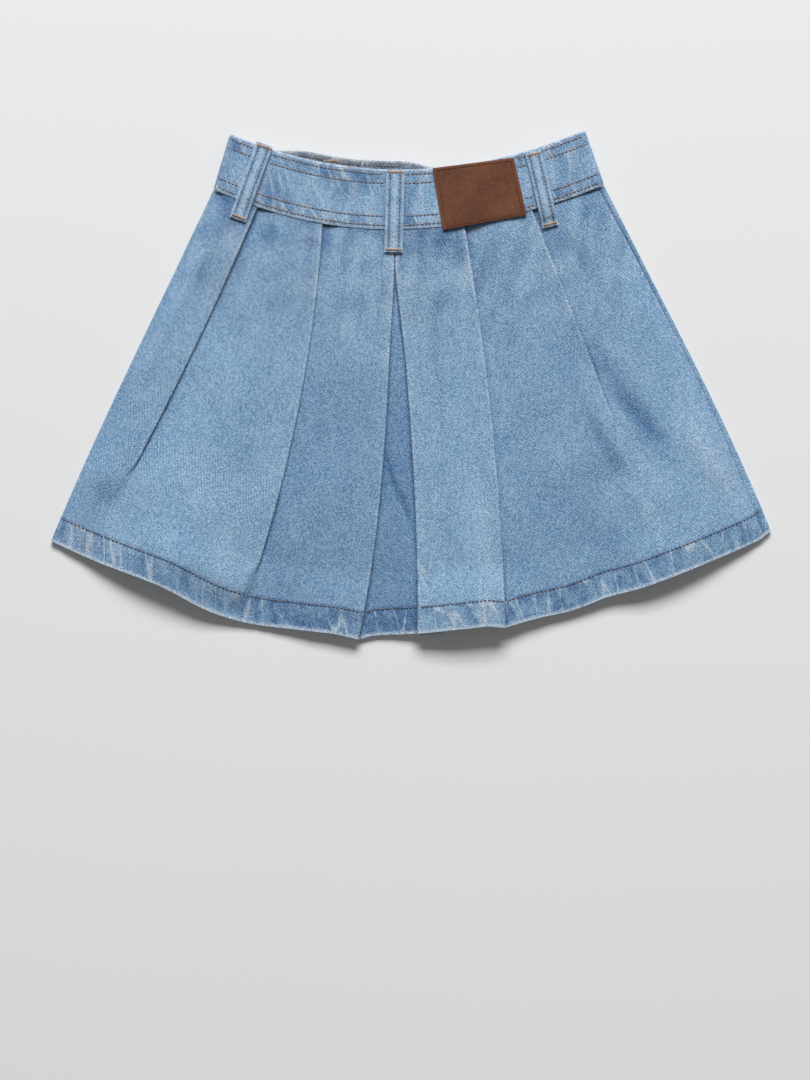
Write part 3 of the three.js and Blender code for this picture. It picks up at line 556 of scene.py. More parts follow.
class Sheet:
    """Collects a wall's rows, and makes one closed mesh of them."""

    def __init__(self):
        self.upper, self.lower, self.traits = [], [], []

    def add(self, rows, **traits):
        self.upper.append(rows[0])
        self.lower.append(rows[1])
        self.traits.append(traits)

    @staticmethod
    def faces(down, across):
        """Faces of the upper side, of the lower side and of the rim, as numbers of points."""
        number = np.arange(down * across).reshape(down, across)
        under = number + down * across
        grid = [number[:-1, :-1], number[1:, :-1], number[1:, 1:], number[:-1, 1:]]
        top = np.stack(grid, -1).reshape(-1, 4)
        base = np.stack([side + down * across for side in grid[::-1]], -1).reshape(-1, 4)
        rim = []
        for edge, low in ((number[:, 0], under[:, 0]), (number[-1], under[-1]),
                          (number[::-1, -1], under[::-1, -1]), (number[0, ::-1], under[0, ::-1])):
            rim.append(np.stack([edge[:-1], low[:-1], low[1:], edge[1:]], -1))
        return top, base, np.concatenate(rim)

    def make(self, name, materials, sides=(0, 0)):
        """The upper and the lower side take the materials that sides numbers."""
        upper, lower = np.array(self.upper), np.array(self.lower)
        down, across = upper.shape[:2]
        top, base, rim = self.faces(down, across)
        points = np.concatenate([upper.reshape(-1, 3), lower.reshape(-1, 3)])
        obj = mesh_object(name, points, np.concatenate([top, base, rim]).tolist(), materials, 55)
        index = [sides[0]] * len(top) + [sides[1]] * len(base) + [sides[0]] * len(rim)
        obj.data.polygons.foreach_set("material_index", index)
        for key in ("run", "down", "wear", "shade", "rope"):
            values = np.array([np.broadcast_to(row.get(key, 0.0), (across,)) for row in self.traits])
            data = obj.data.attributes.new(key, "FLOAT", "POINT").data
            data.foreach_set("value", np.tile(values.reshape(-1), 2).astype(np.float32))
        return obj


def cloth_run(at, z):
    """Distance along the cloth itself, layer by layer."""
    return np.concatenate([[0], np.cumsum(np.hypot(np.diff(at), np.diff(z)))])


def row_shares(count):
    """Shares of the length, closer together at the hem."""
    body = np.linspace(0, 0.9, count)
    hem = np.linspace(0.9, 1, count // 3)[1:]
    return np.concatenate([body, hem])


def panel_row(sheet, lines, curve, t, half, parts, insets, is_outer_up, seam_at=None):
    """Adds one row. parts are the columns at, z, nx, nz, drop and owner."""
    at, z, nx, nz, drop, owner = parts
    x, y = curve.at(at).T
    wear, shade = pleat_wear_and_shadow(lines, curve, at, owner, t)
    height, hem_worn, hem_sunk, rope = hem_wear(at, t)
    mottled = ripple(x, y * 0.6, 17, 41) * (1 - ease(*MOTTLED_END, t))
    wear += MOTTLED_WEAR * np.clip(mottled, 0, 1)
    # 0.5 * bell(t, 0.01) is painted shadow along the cloth's top, under the band's lower edge
    shade += MOTTLED_SHADE * np.clip(-mottled, 0, 1) + hem_sunk + 0.5 * bell(t, 0.01)
    if seam_at is not None:
        worn, shaded = seam_wear_and_shade(at - seam_at if is_outer_up else seam_at - at, t, is_outer_up)
        wear, shade = wear + worn, shade + shaded
    crease_highlight = 0.0
    if is_outer_up:
        creased, fold_shading = banded(CREASES, x, y), banded(FOLD_SHADING_BANDS, x, y)
        # Painted highlight on the creases' ridges; painted shade in their troughs below
        crease_highlight = CREASE_HIGHLIGHT * np.clip(creased, 0, 1)
        # Painted highlight on the paler fold bands; the deeper ones add painted shade below
        wear += FOLD_BAND_HIGHLIGHT * np.clip(-fold_shading, 0, 1)
        shade += np.clip(fold_shading, 0, 1) + spots(x, y) + CREASE_SHADE * np.clip(-creased, 0, 1.2)
        # Painted shade on each part of the back, by its tilt to the light
        shade += np.array(PANEL_PAINTED_SHADE)[owner.astype(int) - 1] * ease(*PANEL_PAINTED_SHADE_START, t)
    run = cloth_run(at, z)
    puckers = height * (1.0 if is_outer_up else PUCKERS_BELOW)
    rows = wall_row(curve, t, half, at, z + puckers, nx, nz, drop - insets)
    sheet.add(rows, run=run - run[len(run) // 2], down=t * LENGTH, rope=np.full(len(at), rope),
              wear=np.maximum(wear, hem_worn) + crease_highlight, shade=shade)


def edge_column(at, z, owner):
    """The last column of a wrapped edge, facing down."""
    return np.array([[at], [z], [0], [-1], [0], [owner]])


def turned(turn, owner):
    """A half turn's columns with their drop and their owner."""
    blank = np.zeros(turn.shape[1])
    return np.concatenate([turn, [blank, blank + owner]])


def back_panel(materials):
    sheet = Sheet()
    for t in row_shares(BACK_ROWS):
        curve, half = row_curve(BACK_LINES, t, False), half_wall(t)
        edge_x = curve.at(0.0)[0]
        low_z, high_z = front_height(edge_x, t), back_height(edge_x, t)
        start_at = (high_z - low_z) / 2 + half + FOLD_MARGIN
        end_at = curve.total - through_three(RIGHT_SEAM_INSETS, t) - GAP
        row = stations(BACK_LINES, t, curve, 1, start_at, end_at, BACK_COLUMNS, BACK_SETTLE)
        row[1] += back_height(curve.at(row[0])[:, 0], t)
        turn = turned(side_turn(0, 1, half, low_z, high_z, True), 1)
        columns = np.concatenate([edge_column(LEFT_SEAM_INSET, low_z, 1), turn, row], axis=1)
        panel_row(sheet, BACK_LINES, curve, t, half, columns, 0.0, True, end_at)
    return sheet.make("back_panel_cloth", materials, (0, 1))


def front_row(lines, t, curve, start_at, end_at):
    """The columns of a front panel's row, at their heights."""
    row = stations(lines, t, curve, -1, start_at, end_at, FRONT_COLUMNS, FRONT_SETTLE)
    row[1] += front_height(curve.at(row[0])[:, 0], t)
    return row


def front_left_panel(materials):
    sheet = Sheet()
    for t in row_shares(FRONT_ROWS):
        curve, half = row_curve(FRONT_LEFT_LINES, t, True), half_wall(t)
        row = front_row(FRONT_LEFT_LINES, t, curve, LEFT_SEAM_INSET + GAP, curve.total - GAP / 2)
        insets = FRONT_HEM_INSET * ease(LEFT_SEAM_INSET, FRONT_HEM_SIDE, row[0])
        panel_row(sheet, FRONT_LEFT_LINES, curve, t, half, row, insets, False)
    return sheet.make("front_left_panel_cloth", materials, (1, 0))


def front_right_panel(materials):
    sheet = Sheet()
    for t in row_shares(FRONT_ROWS):
        curve, half = row_curve(FRONT_RIGHT_LINES, t, True), half_wall(t)
        edge_x = curve.at(curve.total)[0]
        low_z, high_z = front_height(edge_x, t), back_height(edge_x, t)
        row = front_row(FRONT_RIGHT_LINES, t, curve, GAP / 2, curve.total - LEFT_SEAM_INSET)
        owner = row[5, -1]
        turn = turned(side_turn(curve.total, -1, half, low_z, high_z, True), owner)
        seam_at = curve.total - through_three(RIGHT_SEAM_INSETS, t)
        columns = np.concatenate([row, turn, edge_column(seam_at, high_z, owner)], axis=1)
        insets = FRONT_HEM_INSET * ease(LEFT_SEAM_INSET, FRONT_HEM_SIDE, curve.total - columns[0])
        panel_row(sheet, FRONT_RIGHT_LINES, curve, t, half, columns, insets, False, seam_at)
    return sheet.make("front_right_panel_cloth", materials, (1, 0))


# Waistband
BAND_SEAM_GAP = 0.6
BAND_FRONT_Z = WAIST_LIFT + BAND_WALL / 2
BAND_UNDERLAP_Z = BAND_FRONT_Z + BAND_WALL + GAP
BAND_BACK_Z = BAND_UNDERLAP_Z + BAND_WALL + GAP
OVERLAP_END_X, UNDERLAP_END_X, UNDERLAP_SLOPE, BAND_TURN_CLEAR = 16, -37, 12, 6
# Thin worn lines across the band, where it creased when worn
WHISKERS = table("top bottom width", [
    ((-99.6, 148), (-95.2, 133), 0.7),
    ((-94.2, 155), (-89.1, 133), 0.8),
    ((-88, 151), (-85.5, 141), 0.6),
    ((-68.5, 142), (-60.2, 124), 0.8),
    ((-53, 148), (-47, 131), 0.6),
    ((-30, 143), (-26, 128), 0.6),
    ((6, 147), (9, 116), 0.9),
    ((-128, 158), (-122, 143), 0.8),
    ((76, 150), (79, 134), 0.7),
    ((98, 158), (101, 137), 0.7),
    ((108, 165), (112, 152), 0.9),
    ((115, 163), (121, 144), 0.7),
])
WHISKER_WEAR, BAND_EDGE_WEAR, BAND_PALE_WEAR = 0.42, 0.7, 0.2
BAND_SEAM = dict(width=0.014, depth=0.14, wear=0.15, shade=0.5)
BAND_SHADE, BAND_PATCHY_SHADE, BAND_DENTS = 0.17, 0.45, 0.16
BAND_ROPED, BAND_EDGE_ROPED, BAND_EDGE_ENDS = 0.22, 0.6, (0.2, 0.27)
BAND_HEIGHT, BAND_ROWS = 42, 40
BAND_SEAMS = (0.07, 0.22, 0.77, 0.92)  # shares of its height with a row of stitches


def band_point(place, share, is_front):
    lower_x = mix(WAIST_LINE["left_x"], WAIST_LINE["right_x"], place)
    upper_x = mix(BAND_TOP_LINE["left_x"], BAND_TOP_LINE["right_x"], place)
    rise = front_rise(lower_x) if is_front else 0
    lower = sag(WAIST_LINE, lower_x) + BAND_SEAM_GAP
    return mix(lower_x, upper_x, share), mix(lower, sag(BAND_TOP_LINE, upper_x), share) + rise


def band_place(x):
    """How far along the band's lower edge a place lies."""
    return (x - WAIST_LINE["left_x"]) / (WAIST_LINE["right_x"] - WAIST_LINE["left_x"])


def band_curve(share, is_front, count=120):
    return Curve([band_point(i / count, share, is_front) for i in range(count + 1)])


def band_columns(share):
    """Lists of curve, at, z, nx and nz, from the end that laps over to the end beneath it."""
    back, front = band_curve(share, False), band_curve(share, True)
    overlap_end = front.total * band_place(OVERLAP_END_X)
    underlap_end = front.total * band_place(UNDERLAP_END_X)
    edge = (BAND_BACK_Z - BAND_FRONT_Z) / 2 + BAND_WALL / 2 + BAND_TURN_CLEAR
    slope_from = overlap_end + FOLD_MARGIN
    slope_to = slope_from + UNDERLAP_SLOPE

    def walk(curve, start, end, count, height):
        at = np.linspace(start, end, count)
        z = height(at) if callable(height) else np.full(count, height)
        return curve, at, z, np.zeros(count), np.full(count, 1.0 if end > start else -1.0)

    def slope(at):
        return mix(BAND_UNDERLAP_Z, BAND_FRONT_Z, ease(slope_from, slope_to, at))

    up = side_turn(0, 1, BAND_WALL / 2, BAND_FRONT_Z, BAND_BACK_Z, True)
    down = side_turn(back.total, -1, BAND_WALL / 2, BAND_FRONT_Z, BAND_BACK_Z, False)
    return [
        walk(front, overlap_end, edge, 40, BAND_FRONT_Z),
        (back, *up),
        walk(back, edge, back.total - edge, 300, BAND_BACK_Z),
        (back, *down),
        walk(front, front.total - edge, slope_to, 26, BAND_FRONT_Z),
        walk(front, slope_to - 1, slope_from + 1, 10, slope),
        walk(front, slope_from, underlap_end, 20, BAND_UNDERLAP_Z),
    ]


def whisker_wear(x, y):
    worn = np.zeros_like(x)
    for whisker in WHISKERS:
        share, away = beside_run(whisker["top"], whisker["bottom"], x, y)
        fade = 0.35 + 0.65 * np.sin(math.pi * np.clip(share, 0.05, 0.95))
        worn += WHISKER_WEAR * bell(away, whisker["width"]) * fade
    return worn


def band_row(share, half, seams):
    """The upper, lower and middle points of the band at one share of its height."""
    upper, lower, middle = [], [], []
    for curve, at, z, nx, nz in band_columns(share):
        for rows, side in ((upper, 1), (lower, -1)):
            xy = curve.at(at + side * half * nx)
            dents = BAND_DENTS * ripple(xy[:, 0], xy[:, 1] * 0.25, 13, 19) - BAND_SEAM["depth"] * seams
            height = z + side * (half + (dents if side > 0 else 0)) * nz
            rows.append(np.column_stack([xy, height + relief(xy[:, 0], xy[:, 1], height, 0.0)]))
        middle.append(np.column_stack([curve.at(at), z]))
    return [np.concatenate(rows) for rows in (upper, lower, middle)]


def waistband(materials):
    sheet = Sheet()
    for share in np.concatenate([[0, 0.015], np.linspace(0.05, 0.95, BAND_ROWS), [0.985, 1]])[::-1]:
        rim = min(share, 1 - share)
        seams = sum(bell(share - seam, BAND_SEAM["width"]) for seam in BAND_SEAMS)
        upper, lower, middle = band_row(share, BAND_WALL / 2 * mix(0.55, 1, ease(0, 0.03, rim)), seams)
        run = np.concatenate([[0], np.cumsum(np.linalg.norm(np.diff(middle, axis=0), axis=1))])
        run -= run[len(run) // 2]
        on_back = middle[:, 2] > BAND_UNDERLAP_Z + 1
        worn = BAND_EDGE_WEAR * (1 - ease(0.0, 0.05, rim)) + whisker_wear(*middle[:, :2].T) * on_back
        worn += BAND_PALE_WEAR * np.clip(ripple(run, share * 36 + 0 * run, 15, 27, (1.0, 1.6)), 0, 1)
        patchy = BAND_PATCHY_SHADE * np.clip(ripple(run, share * 30 + 0 * run, 34, 24), -0.5, 1)
        sheet.add((upper, lower), run=run, down=(1 - share) * BAND_HEIGHT,
                  wear=worn + BAND_SEAM["wear"] * seams,
                  shade=BAND_SHADE + patchy + BAND_SEAM["shade"] * seams,
                  rope=BAND_ROPED + BAND_EDGE_ROPED * (1 - ease(*BAND_EDGE_ENDS, rim)))
    return sheet.make("waistband_cloth", materials, (0, 1))


# Things that lie on the cloth


def tree_of(*objects):
    """The objects' surface for finding heights on it, in millimetres."""
    points, faces = [], []
    for obj in objects:
        start = len(points)
        points.extend(tuple(v.co * 1000) for v in obj.data.vertices)
        faces.extend(tuple(start + i for i in p.vertices) for p in obj.data.polygons)
    return BVHTree.FromPolygons(points, faces)


def height_on(tree, x, y, side=1):
    """Height of the outermost cloth over a place, from above, or from below with side -1."""
    hit = tree.ray_cast(Vector((x, y, 60.0 * side)), Vector((0, 0, -side)))[0]
    return None if hit is None else hit.z


LOOP_WIDTH, LOOP_BELOW_BAND = 12.5, 15


def front_loop(name, x, lean):
    """A loop under the front, its upper end at the top of the band."""
    foot = (x + lean / 2, sag(WAIST_LINE, x) + front_rise(x) - LOOP_BELOW_BAND)
    return name, band_point(band_place(x), 0.985, True), foot, LOOP_WIDTH, -1


LOOPS = table("name top bottom width side", [
    ("belt_loop_back_left", (-102.2, 168.0), (-121.1, 115.5), 11.9, 1),
    ("belt_loop_back_centre", (-10.9, 150.6), (-12.2, 92.6), 12.9, 1),
    ("belt_loop_back_right", (85.2, 163.0), (97.6, 110.8), 11.4, 1),
    front_loop("belt_loop_front_left", -60, -6),
    front_loop("belt_loop_front_right", 57, 6),
])
LOOP_ARCH = 0.9  # how far a loop stands off the band at its middle
LOOP_SEAM = 0.55  # of a loop's half width, from its middle to each row of stitches
LOOP_PLACES = np.array([-1, -0.95, -0.86, -0.72, -0.56, -0.3, 0, 0.3, 0.56, 0.72, 0.86, 0.95, 1])
LOOP_GROOVE = dict(width=0.12, depth=0.16, grain=0.1, shade=0.85)
LOOP_RIDGE = dict(width=0.3, height=0.12, worn_width=0.26, wear=0.45)
LOOP_EDGE_WEAR, LOOP_END_WEAR, LOOP_PATCHY_SHADE = 0.5, 0.4, 0.25


class Strip:
    """A belt loop: a flat strip that stands a little off the band between its sewn ends."""

    def __init__(self, loop, tree):
        self.top, self.bottom = np.array(loop["top"], float), np.array(loop["bottom"], float)
        self.run = self.bottom - self.top
        self.length = math.hypot(*self.run)
        self.across = np.array([-self.run[1], self.run[0]]) / self.length
        self.width, self.side = loop["width"], loop["side"]
        self.shares = np.linspace(0.01, 0.99, 15)
        found = []
        for share in self.shares:
            places = [self.point(share, place) for place in np.linspace(-1, 1, 7)]
            around = [height_on(tree, *place, self.side) for place in places]
            found.append([z for z in around if z is not None])
        near = [sum(found[max(0, i - 1): i + 2], []) for i in range(len(found))]
        self.base = np.array([max(zs) if self.side > 0 else min(zs) for zs in near])

    def point(self, share, place):
        return self.top + self.run * share + self.across * (self.width / 2 * place)

    def middle(self, share):
        smooth = np.interp(np.clip(share + np.linspace(-0.08, 0.08, 7), 0, 1), self.shares, self.base)
        arch = LOOP_ARCH * ease(0.1, 0.35, share) * (1 - ease(0.65, 0.9, share)) if self.side > 0 else 0
        outermost = smooth.max() if self.side > 0 else smooth.min()
        return outermost + self.side * (GAP + LOOP_WALL / 2 + arch)


def belt_loop(loop, strip, materials):
    sheet = Sheet()
    places, half = LOOP_PLACES, LOOP_WALL / 2
    off_middle = np.abs(places)
    seams = bell(off_middle - LOOP_SEAM, LOOP_GROOVE["width"])
    for share in np.linspace(0, 1, 40):
        end = min(share, 1 - share)
        xy = np.array([strip.point(share, place) for place in places])
        rounding = np.sqrt(np.clip(1 - off_middle**8, 0.12, 1)) * mix(0.6, 1, ease(0, 0.03, end))
        grain = LOOP_GROOVE["grain"] * np.sin(share * strip.length * 1.9 + places * 2) * seams
        ridge = LOOP_RIDGE["height"] * bell(places, LOOP_RIDGE["width"])
        top = half * rounding - LOOP_GROOVE["depth"] * seams + grain + ridge
        middle = strip.middle(share)
        sides = [middle + strip.side * top, middle - strip.side * half * rounding][::strip.side]
        rows = [np.column_stack([xy, side]) for side in sides]
        wear = LOOP_EDGE_WEAR * bell(off_middle - 0.97, 0.12) + LOOP_END_WEAR * bell(end, 0.03)
        wear += LOOP_RIDGE["wear"] * bell(places, LOOP_RIDGE["worn_width"])
        patchy = np.clip(ripple(places * 9, share * 60 + 0 * places, 14, 5), 0, 1)
        shade = LOOP_GROOVE["shade"] * seams + LOOP_PATCHY_SHADE * patchy
        sheet.add(rows, run=places * strip.width / 2, down=share * strip.length, wear=wear, shade=shade)
    return sheet.make(loop["name"] + "_cloth", materials)


PATCH_CORNERS = np.array([(15.1, 151.2), (71.7, 158.6), (80.8, 118.7), (22.4, 108.2)])
PATCH_WIDTH, PATCH_HEIGHT, PATCH_SEAM = 60, 43, 0.045
PATCH_EDGE = [0, 0.008, 0.02, 0.035, 0.05]  # shares where the skin's points lie closer together
PATCH_FAR_EDGE = [0.95, 0.965, 0.98, 0.992, 1]


def patch_point(across, down):
    top = mix(PATCH_CORNERS[0], PATCH_CORNERS[1], across)
    return mix(top, mix(PATCH_CORNERS[3], PATCH_CORNERS[2], across), down)


def leather_patch(materials, tree):
    sheet = Sheet()
    grid = np.linspace(0, 1, 25)
    base = max(height_on(tree, *patch_point(a, d)) or 0 for a in grid for d in grid)
    shares = np.concatenate([PATCH_EDGE, np.linspace(0.08, 0.92, 24), PATCH_FAR_EDGE])
    for down in shares:
        xy = np.array([patch_point(across, down) for across in shares])
        rim = np.minimum(np.minimum(shares, 1 - shares), min(down, 1 - down))
        swell = 0.1 * ripple(xy[:, 0], xy[:, 1], 26, 11)
        groove = -0.12 * bell(rim - PATCH_SEAM, 0.012)
        top = base + GAP + PATCH_WALL * mix(0.72, 1, ease(0, 0.03, rim)) + swell + groove
        rows = (np.column_stack([xy, top]), np.column_stack([xy, np.full(len(shares), base + GAP)]))
        shade = 1 - ease(0, 0.06, rim)
        sheet.add(rows, run=shares * PATCH_WIDTH, down=down * PATCH_HEIGHT, wear=0 * rim, shade=shade)
    return sheet.make("leather_patch_skin", materials)


def lathe(name, profile, centre, material, sides=48):
    """A turned piece, from rings of the profile's radius and height."""
    angle = np.linspace(0, 2 * math.pi, sides, endpoint=False)
    circle = np.column_stack([np.cos(angle), np.sin(angle), 0 * angle])
    points = np.concatenate([circle * ring["radius"] + (*centre, ring["z"]) for ring in profile])
    faces = []
    for start in range(0, len(points) - sides, sides):
        for i in range(sides):
            j = (i + 1) % sides
            faces.append((start + i, start + j, start + sides + j, start + sides + i))
    faces.append(tuple(range(sides))[::-1])
    faces.append(tuple(range(len(points) - sides, len(points))))
    return mesh_object(name, points, faces, [material], 40)


# Sewing


class Thread:
    """Collects stitches, each a short arched tube, and makes one mesh of them."""

    SIDES = 5
    SUNK = 0.4  # of the stitches on the side that lies on the surface
    STEEPEST = 1.3  # between the two ends of a stitch
    TACK_LENGTH, TACK_STEP = 2.0, 0.8
    SHAPE = table("share high thick", [
        (0.0, -0.25, 0.45), (0.14, 0.05, 0.9), (0.5, 0.22, 1.0), (0.86, 0.05, 0.9), (1.0, -0.25, 0.45),
    ])

    def __init__(self, radius):
        self.radius, self.points, self.faces = radius, [], []

    def stitch(self, start, end, side=1):
        start, end = np.array(start, float), np.array(end, float)
        run = end - start
        across = np.array([-run[1], run[0], 0.0])
        across /= max(np.linalg.norm(across), 1e-6)
        up = np.array([0.0, 0.0, side])
        first = len(self.points)
        for ring in self.SHAPE:
            centre = start + run * ring["share"] + up * ring["high"]
            for corner in range(self.SIDES):
                angle = 2 * math.pi * corner / self.SIDES
                offset = across * math.cos(angle) + up * math.sin(angle)
                self.points.append(centre + offset * self.radius * ring["thick"])
        for ring in range(len(self.SHAPE) - 1):
            for corner in range(self.SIDES):
                a = first + ring * self.SIDES + corner
                b = first + ring * self.SIDES + (corner + 1) % self.SIDES
                self.faces.append((a, b, b + self.SIDES, a + self.SIDES))
        self.faces.append(tuple(range(first, first + self.SIDES))[::-1])
        last = len(self.points) - self.SIDES
        self.faces.append(tuple(range(last, last + self.SIDES)))

    def row(self, path, tree, spacing=3.1, gap=0.8, side=1, covers=None):
        """Stitches along a path seen from above, lying on the cloth. None under the covers."""
        curve = Curve(path)
        for i in range(int(curve.total / spacing)):
            ends = [curve.at(i * spacing + gap / 2), curve.at((i + 1) * spacing - gap / 2)]
            if covers and any(height_on(covers, *end, side) is not None for end in ends):
                continue
            heights = [height_on(tree, *end, side) for end in ends]
            if None in heights or abs(heights[0] - heights[1]) > self.STEEPEST:
                continue
            if side < 0:
                heights = [height + self.SUNK for height in heights]
            self.stitch((*ends[0], heights[0]), (*ends[1], heights[1]), side)

    def bar(self, centre, direction, width, tree, side=1):
        """A bar-tack: short upright stitches packed side by side."""
        direction = np.array(direction, float) / math.hypot(*direction)
        upright = np.array([-direction[1], direction[0]]) * self.TACK_LENGTH / 2
        count = int(width / self.TACK_STEP)
        for i in range(count):
            middle = np.array(centre) + direction * (i - (count - 1) / 2) * self.TACK_STEP
            ends = [middle - upright, middle + upright + direction * self.TACK_STEP * 0.5]
            height = height_on(tree, *middle, side)
            if height is not None:
                self.stitch((*ends[0], height), (*ends[1], height), side)

    def make(self, name, material):
        return mesh_object(name, self.points, self.faces, [material])


def row_path(lines, t, is_front):
    curve = row_curve(lines, t, is_front)
    return [curve.at(length) for length in np.linspace(1.5, curve.total - 1.5, 300)]


def band_path(share, is_front, start=0.008, end=0.992):
    return [band_point(place, share, is_front) for place in np.linspace(start, end, 160)]


INNER_ROW = (0.2, 0.483)  # where the inside of the front of the band shows, as places along it
INNER_TACK = 0.286


def sew_hem(panels, material):
    thread = Thread(0.5)
    tree = tree_of(*panels)
    for lines in (BACK_LINES, FRONT_LEFT_LINES, FRONT_RIGHT_LINES):
        is_front = lines is not BACK_LINES
        path = row_path(lines, HEM_START + 0.004, is_front)
        thread.row(path, tree, spacing=2.9, gap=0.45, side=-1 if is_front else 1)
    return thread.make("hem_stitching", material)


def sew_band(band, loops, patch, material):
    thread = Thread(0.55)
    tree = tree_of(band)
    above = tree_of(patch, *[obj for obj, loop in zip(loops, LOOPS) if loop["side"] > 0])
    below = tree_of(*[obj for obj, loop in zip(loops, LOOPS) if loop["side"] < 0])
    for share in BAND_SEAMS:
        thread.row(band_path(share, False), tree, spacing=2.8, gap=0.5, covers=above)
        thread.row(band_path(share, True), tree, spacing=2.8, gap=0.5, side=-1, covers=below)
    thread.row(band_path(BAND_SEAMS[-1], True, *INNER_ROW), tree, spacing=2.8, gap=0.5)
    return thread.make("band_stitching", material)


def sew_loops(loops, strips, material, bar_material, below):
    thread, bars = Thread(0.45), Thread(0.42)
    for obj, strip in zip(loops, strips):
        tree = tree_of(obj)
        for place in (-LOOP_SEAM, LOOP_SEAM):
            path = [strip.point(share, place) for share in np.linspace(0.04, 0.96, 30)]
            thread.row(path, tree, spacing=2.6, gap=0.5, side=strip.side)
        for share in (0.035, 0.965):
            bars.bar(strip.point(share, 0), strip.across, strip.width * 0.88, tree, strip.side)
    bars.bar(band_point(INNER_TACK, 0.92, True), (1, 0.05), 11, tree_of(below), 1)
    return thread.make("loop_stitching", material), bars.make("loop_bar_tacks", bar_material)


def sew_patch(patch, material):
    thread = Thread(0.32)
    low, high = PATCH_SEAM, 1 - PATCH_SEAM
    corners = [(low, low), (high, low), (high, high), (low, high), (low, low)]
    path = [patch_point(*mix(np.array(a), np.array(b), share))
            for a, b in zip(corners, corners[1:]) for share in np.linspace(0, 1, 20, endpoint=False)]
    thread.row(path, tree_of(patch), spacing=2.4, gap=0.6)
    return thread.make("patch_stitching", material)


# Materials


class Nodes:
    """Short names for the nodes of one material."""

    def __init__(self, name):
        self.material = bpy.data.materials.new(name)
        self.material.use_nodes = True
        self.tree = self.material.node_tree
        self.shader = self.tree.nodes["Principled BSDF"]

    def feed(self, socket, value):
        """Sets an input to a number or a colour, or joins another node's output to it."""
        if isinstance(value, tuple):
            socket.default_value = (*value, 1)
        elif isinstance(value, (int, float)):
            socket.default_value = value
        else:
            self.tree.links.new(value, socket)

    def node(self, kind, inputs):
        """A node whose inputs, by number or name, take the values given."""
        node = self.tree.nodes.new("ShaderNode" + kind)
        for key, value in inputs.items():
            self.feed(node.inputs[key], value)
        return node

    def attribute(self, name):
        node = self.node("Attribute", {})
        node.attribute_name = name
        return node.outputs["Fac"]

    def object_place(self):
        return self.node("TexCoord", {}).outputs["Object"]

    def math(self, kind, *values, clamp=False):
        node = self.node("Math", dict(enumerate(values)))
        node.operation, node.use_clamp = kind, clamp
        return node.outputs[0]

    def add(self, a, b, clamp=False):
        return self.math("ADD", a, b, clamp=clamp)

    def less(self, a, b):
        return self.math("SUBTRACT", a, b)

    def times(self, a, b, clamp=False):
        return self.math("MULTIPLY", a, b, clamp=clamp)

    def vector(self, *parts):
        return self.node("CombineXYZ", dict(enumerate(parts))).outputs[0]

    def noise(self, vector, scale, detail=3.0, roughness=0.55):
        inputs = dict(Vector=vector, Scale=scale, Detail=detail, Roughness=roughness)
        return self.node("TexNoise", inputs).outputs[0]

    def span(self, value, low, high, to_low=0.0, to_high=1.0):
        return self.node("MapRange", dict(enumerate((value, low, high, to_low, to_high)))).outputs[0]

    def blend(self, share, a, b):
        node = self.tree.nodes.new("ShaderNodeMix")
        node.data_type = "RGBA"
        for number, value in ((0, share), (6, a), (7, b)):
            self.feed(node.inputs[number], value)
        return node.outputs[2]

    def bump(self, height, strength, distance):
        node = self.node("Bump", dict(Strength=strength, Distance=distance, Height=height))
        self.feed(self.shader.inputs["Normal"], node.outputs[0])

    def finish(self, colour, roughness, **others):
        inputs = {"Base Color": colour, "Roughness": roughness}
        inputs.update({name.replace("_", " "): value for name, value in others.items()})
        for name, value in inputs.items():
            self.feed(self.shader.inputs[name], value)
        return self.material


def linear(*screen):
    """A colour given as it shows on a screen, 0 to 255."""
    shares = [value / 255 for value in screen]
    return tuple(s / 12.92 if s <= 0.04045 else ((s + 0.055) / 1.055) ** 2.4 for s in shares)


TWILL = 2.15  # from one diagonal line of the weave to the next, measured across the cloth


TWILL_LEAN, TWILL_WANDER = 1.08, 2.2
VEIN_LEAN, VEIN_WIDTH, VEIN_WEAR = 0.3, (0.004, 0.05), 0.75
POOL_SHADE, ROPE_SHADE = 0.6, 0.06


def twill_tone(n, run, down):
    """How pale the yarns are: diagonal lines, speckles, grit, slubs down the cloth and blotches.

    The third number of each place only makes one noise unlike the others.
    """
    wander = n.times(n.noise(n.vector(run, down, 1), 0.45, 2), TWILL_WANDER)
    slant = n.add(n.less(run, n.times(down, TWILL_LEAN)), wander)
    twill = n.math("SINE", n.times(slant, 2 * math.pi / TWILL))
    speckle = n.noise(n.vector(run, down, 7), 0.75, 2, 0.8)
    slubs = n.noise(n.vector(n.times(run, 0.8), n.times(down, 0.05), 0), 1.0, 3, 0.6)
    blotches = n.noise(n.vector(run, n.times(down, 0.6), 11), 0.04, 4, 0.6)
    grit = n.noise(n.vector(run, down, 13), 1.35, 1, 0.6)
    tone = n.add(n.span(speckle, 0.3, 0.7, 0.24, 0.76), n.span(grit, 0.3, 0.7, -0.7, 0.7))
    tone = n.add(tone, n.times(twill, n.span(speckle, 0.3, 0.7, 0.06, 0.36)))
    tone = n.add(tone, n.span(slubs, 0.3, 0.7, -0.12, 0.12))
    return n.add(tone, n.span(blotches, 0.3, 0.7, -0.15, 0.15), clamp=True)


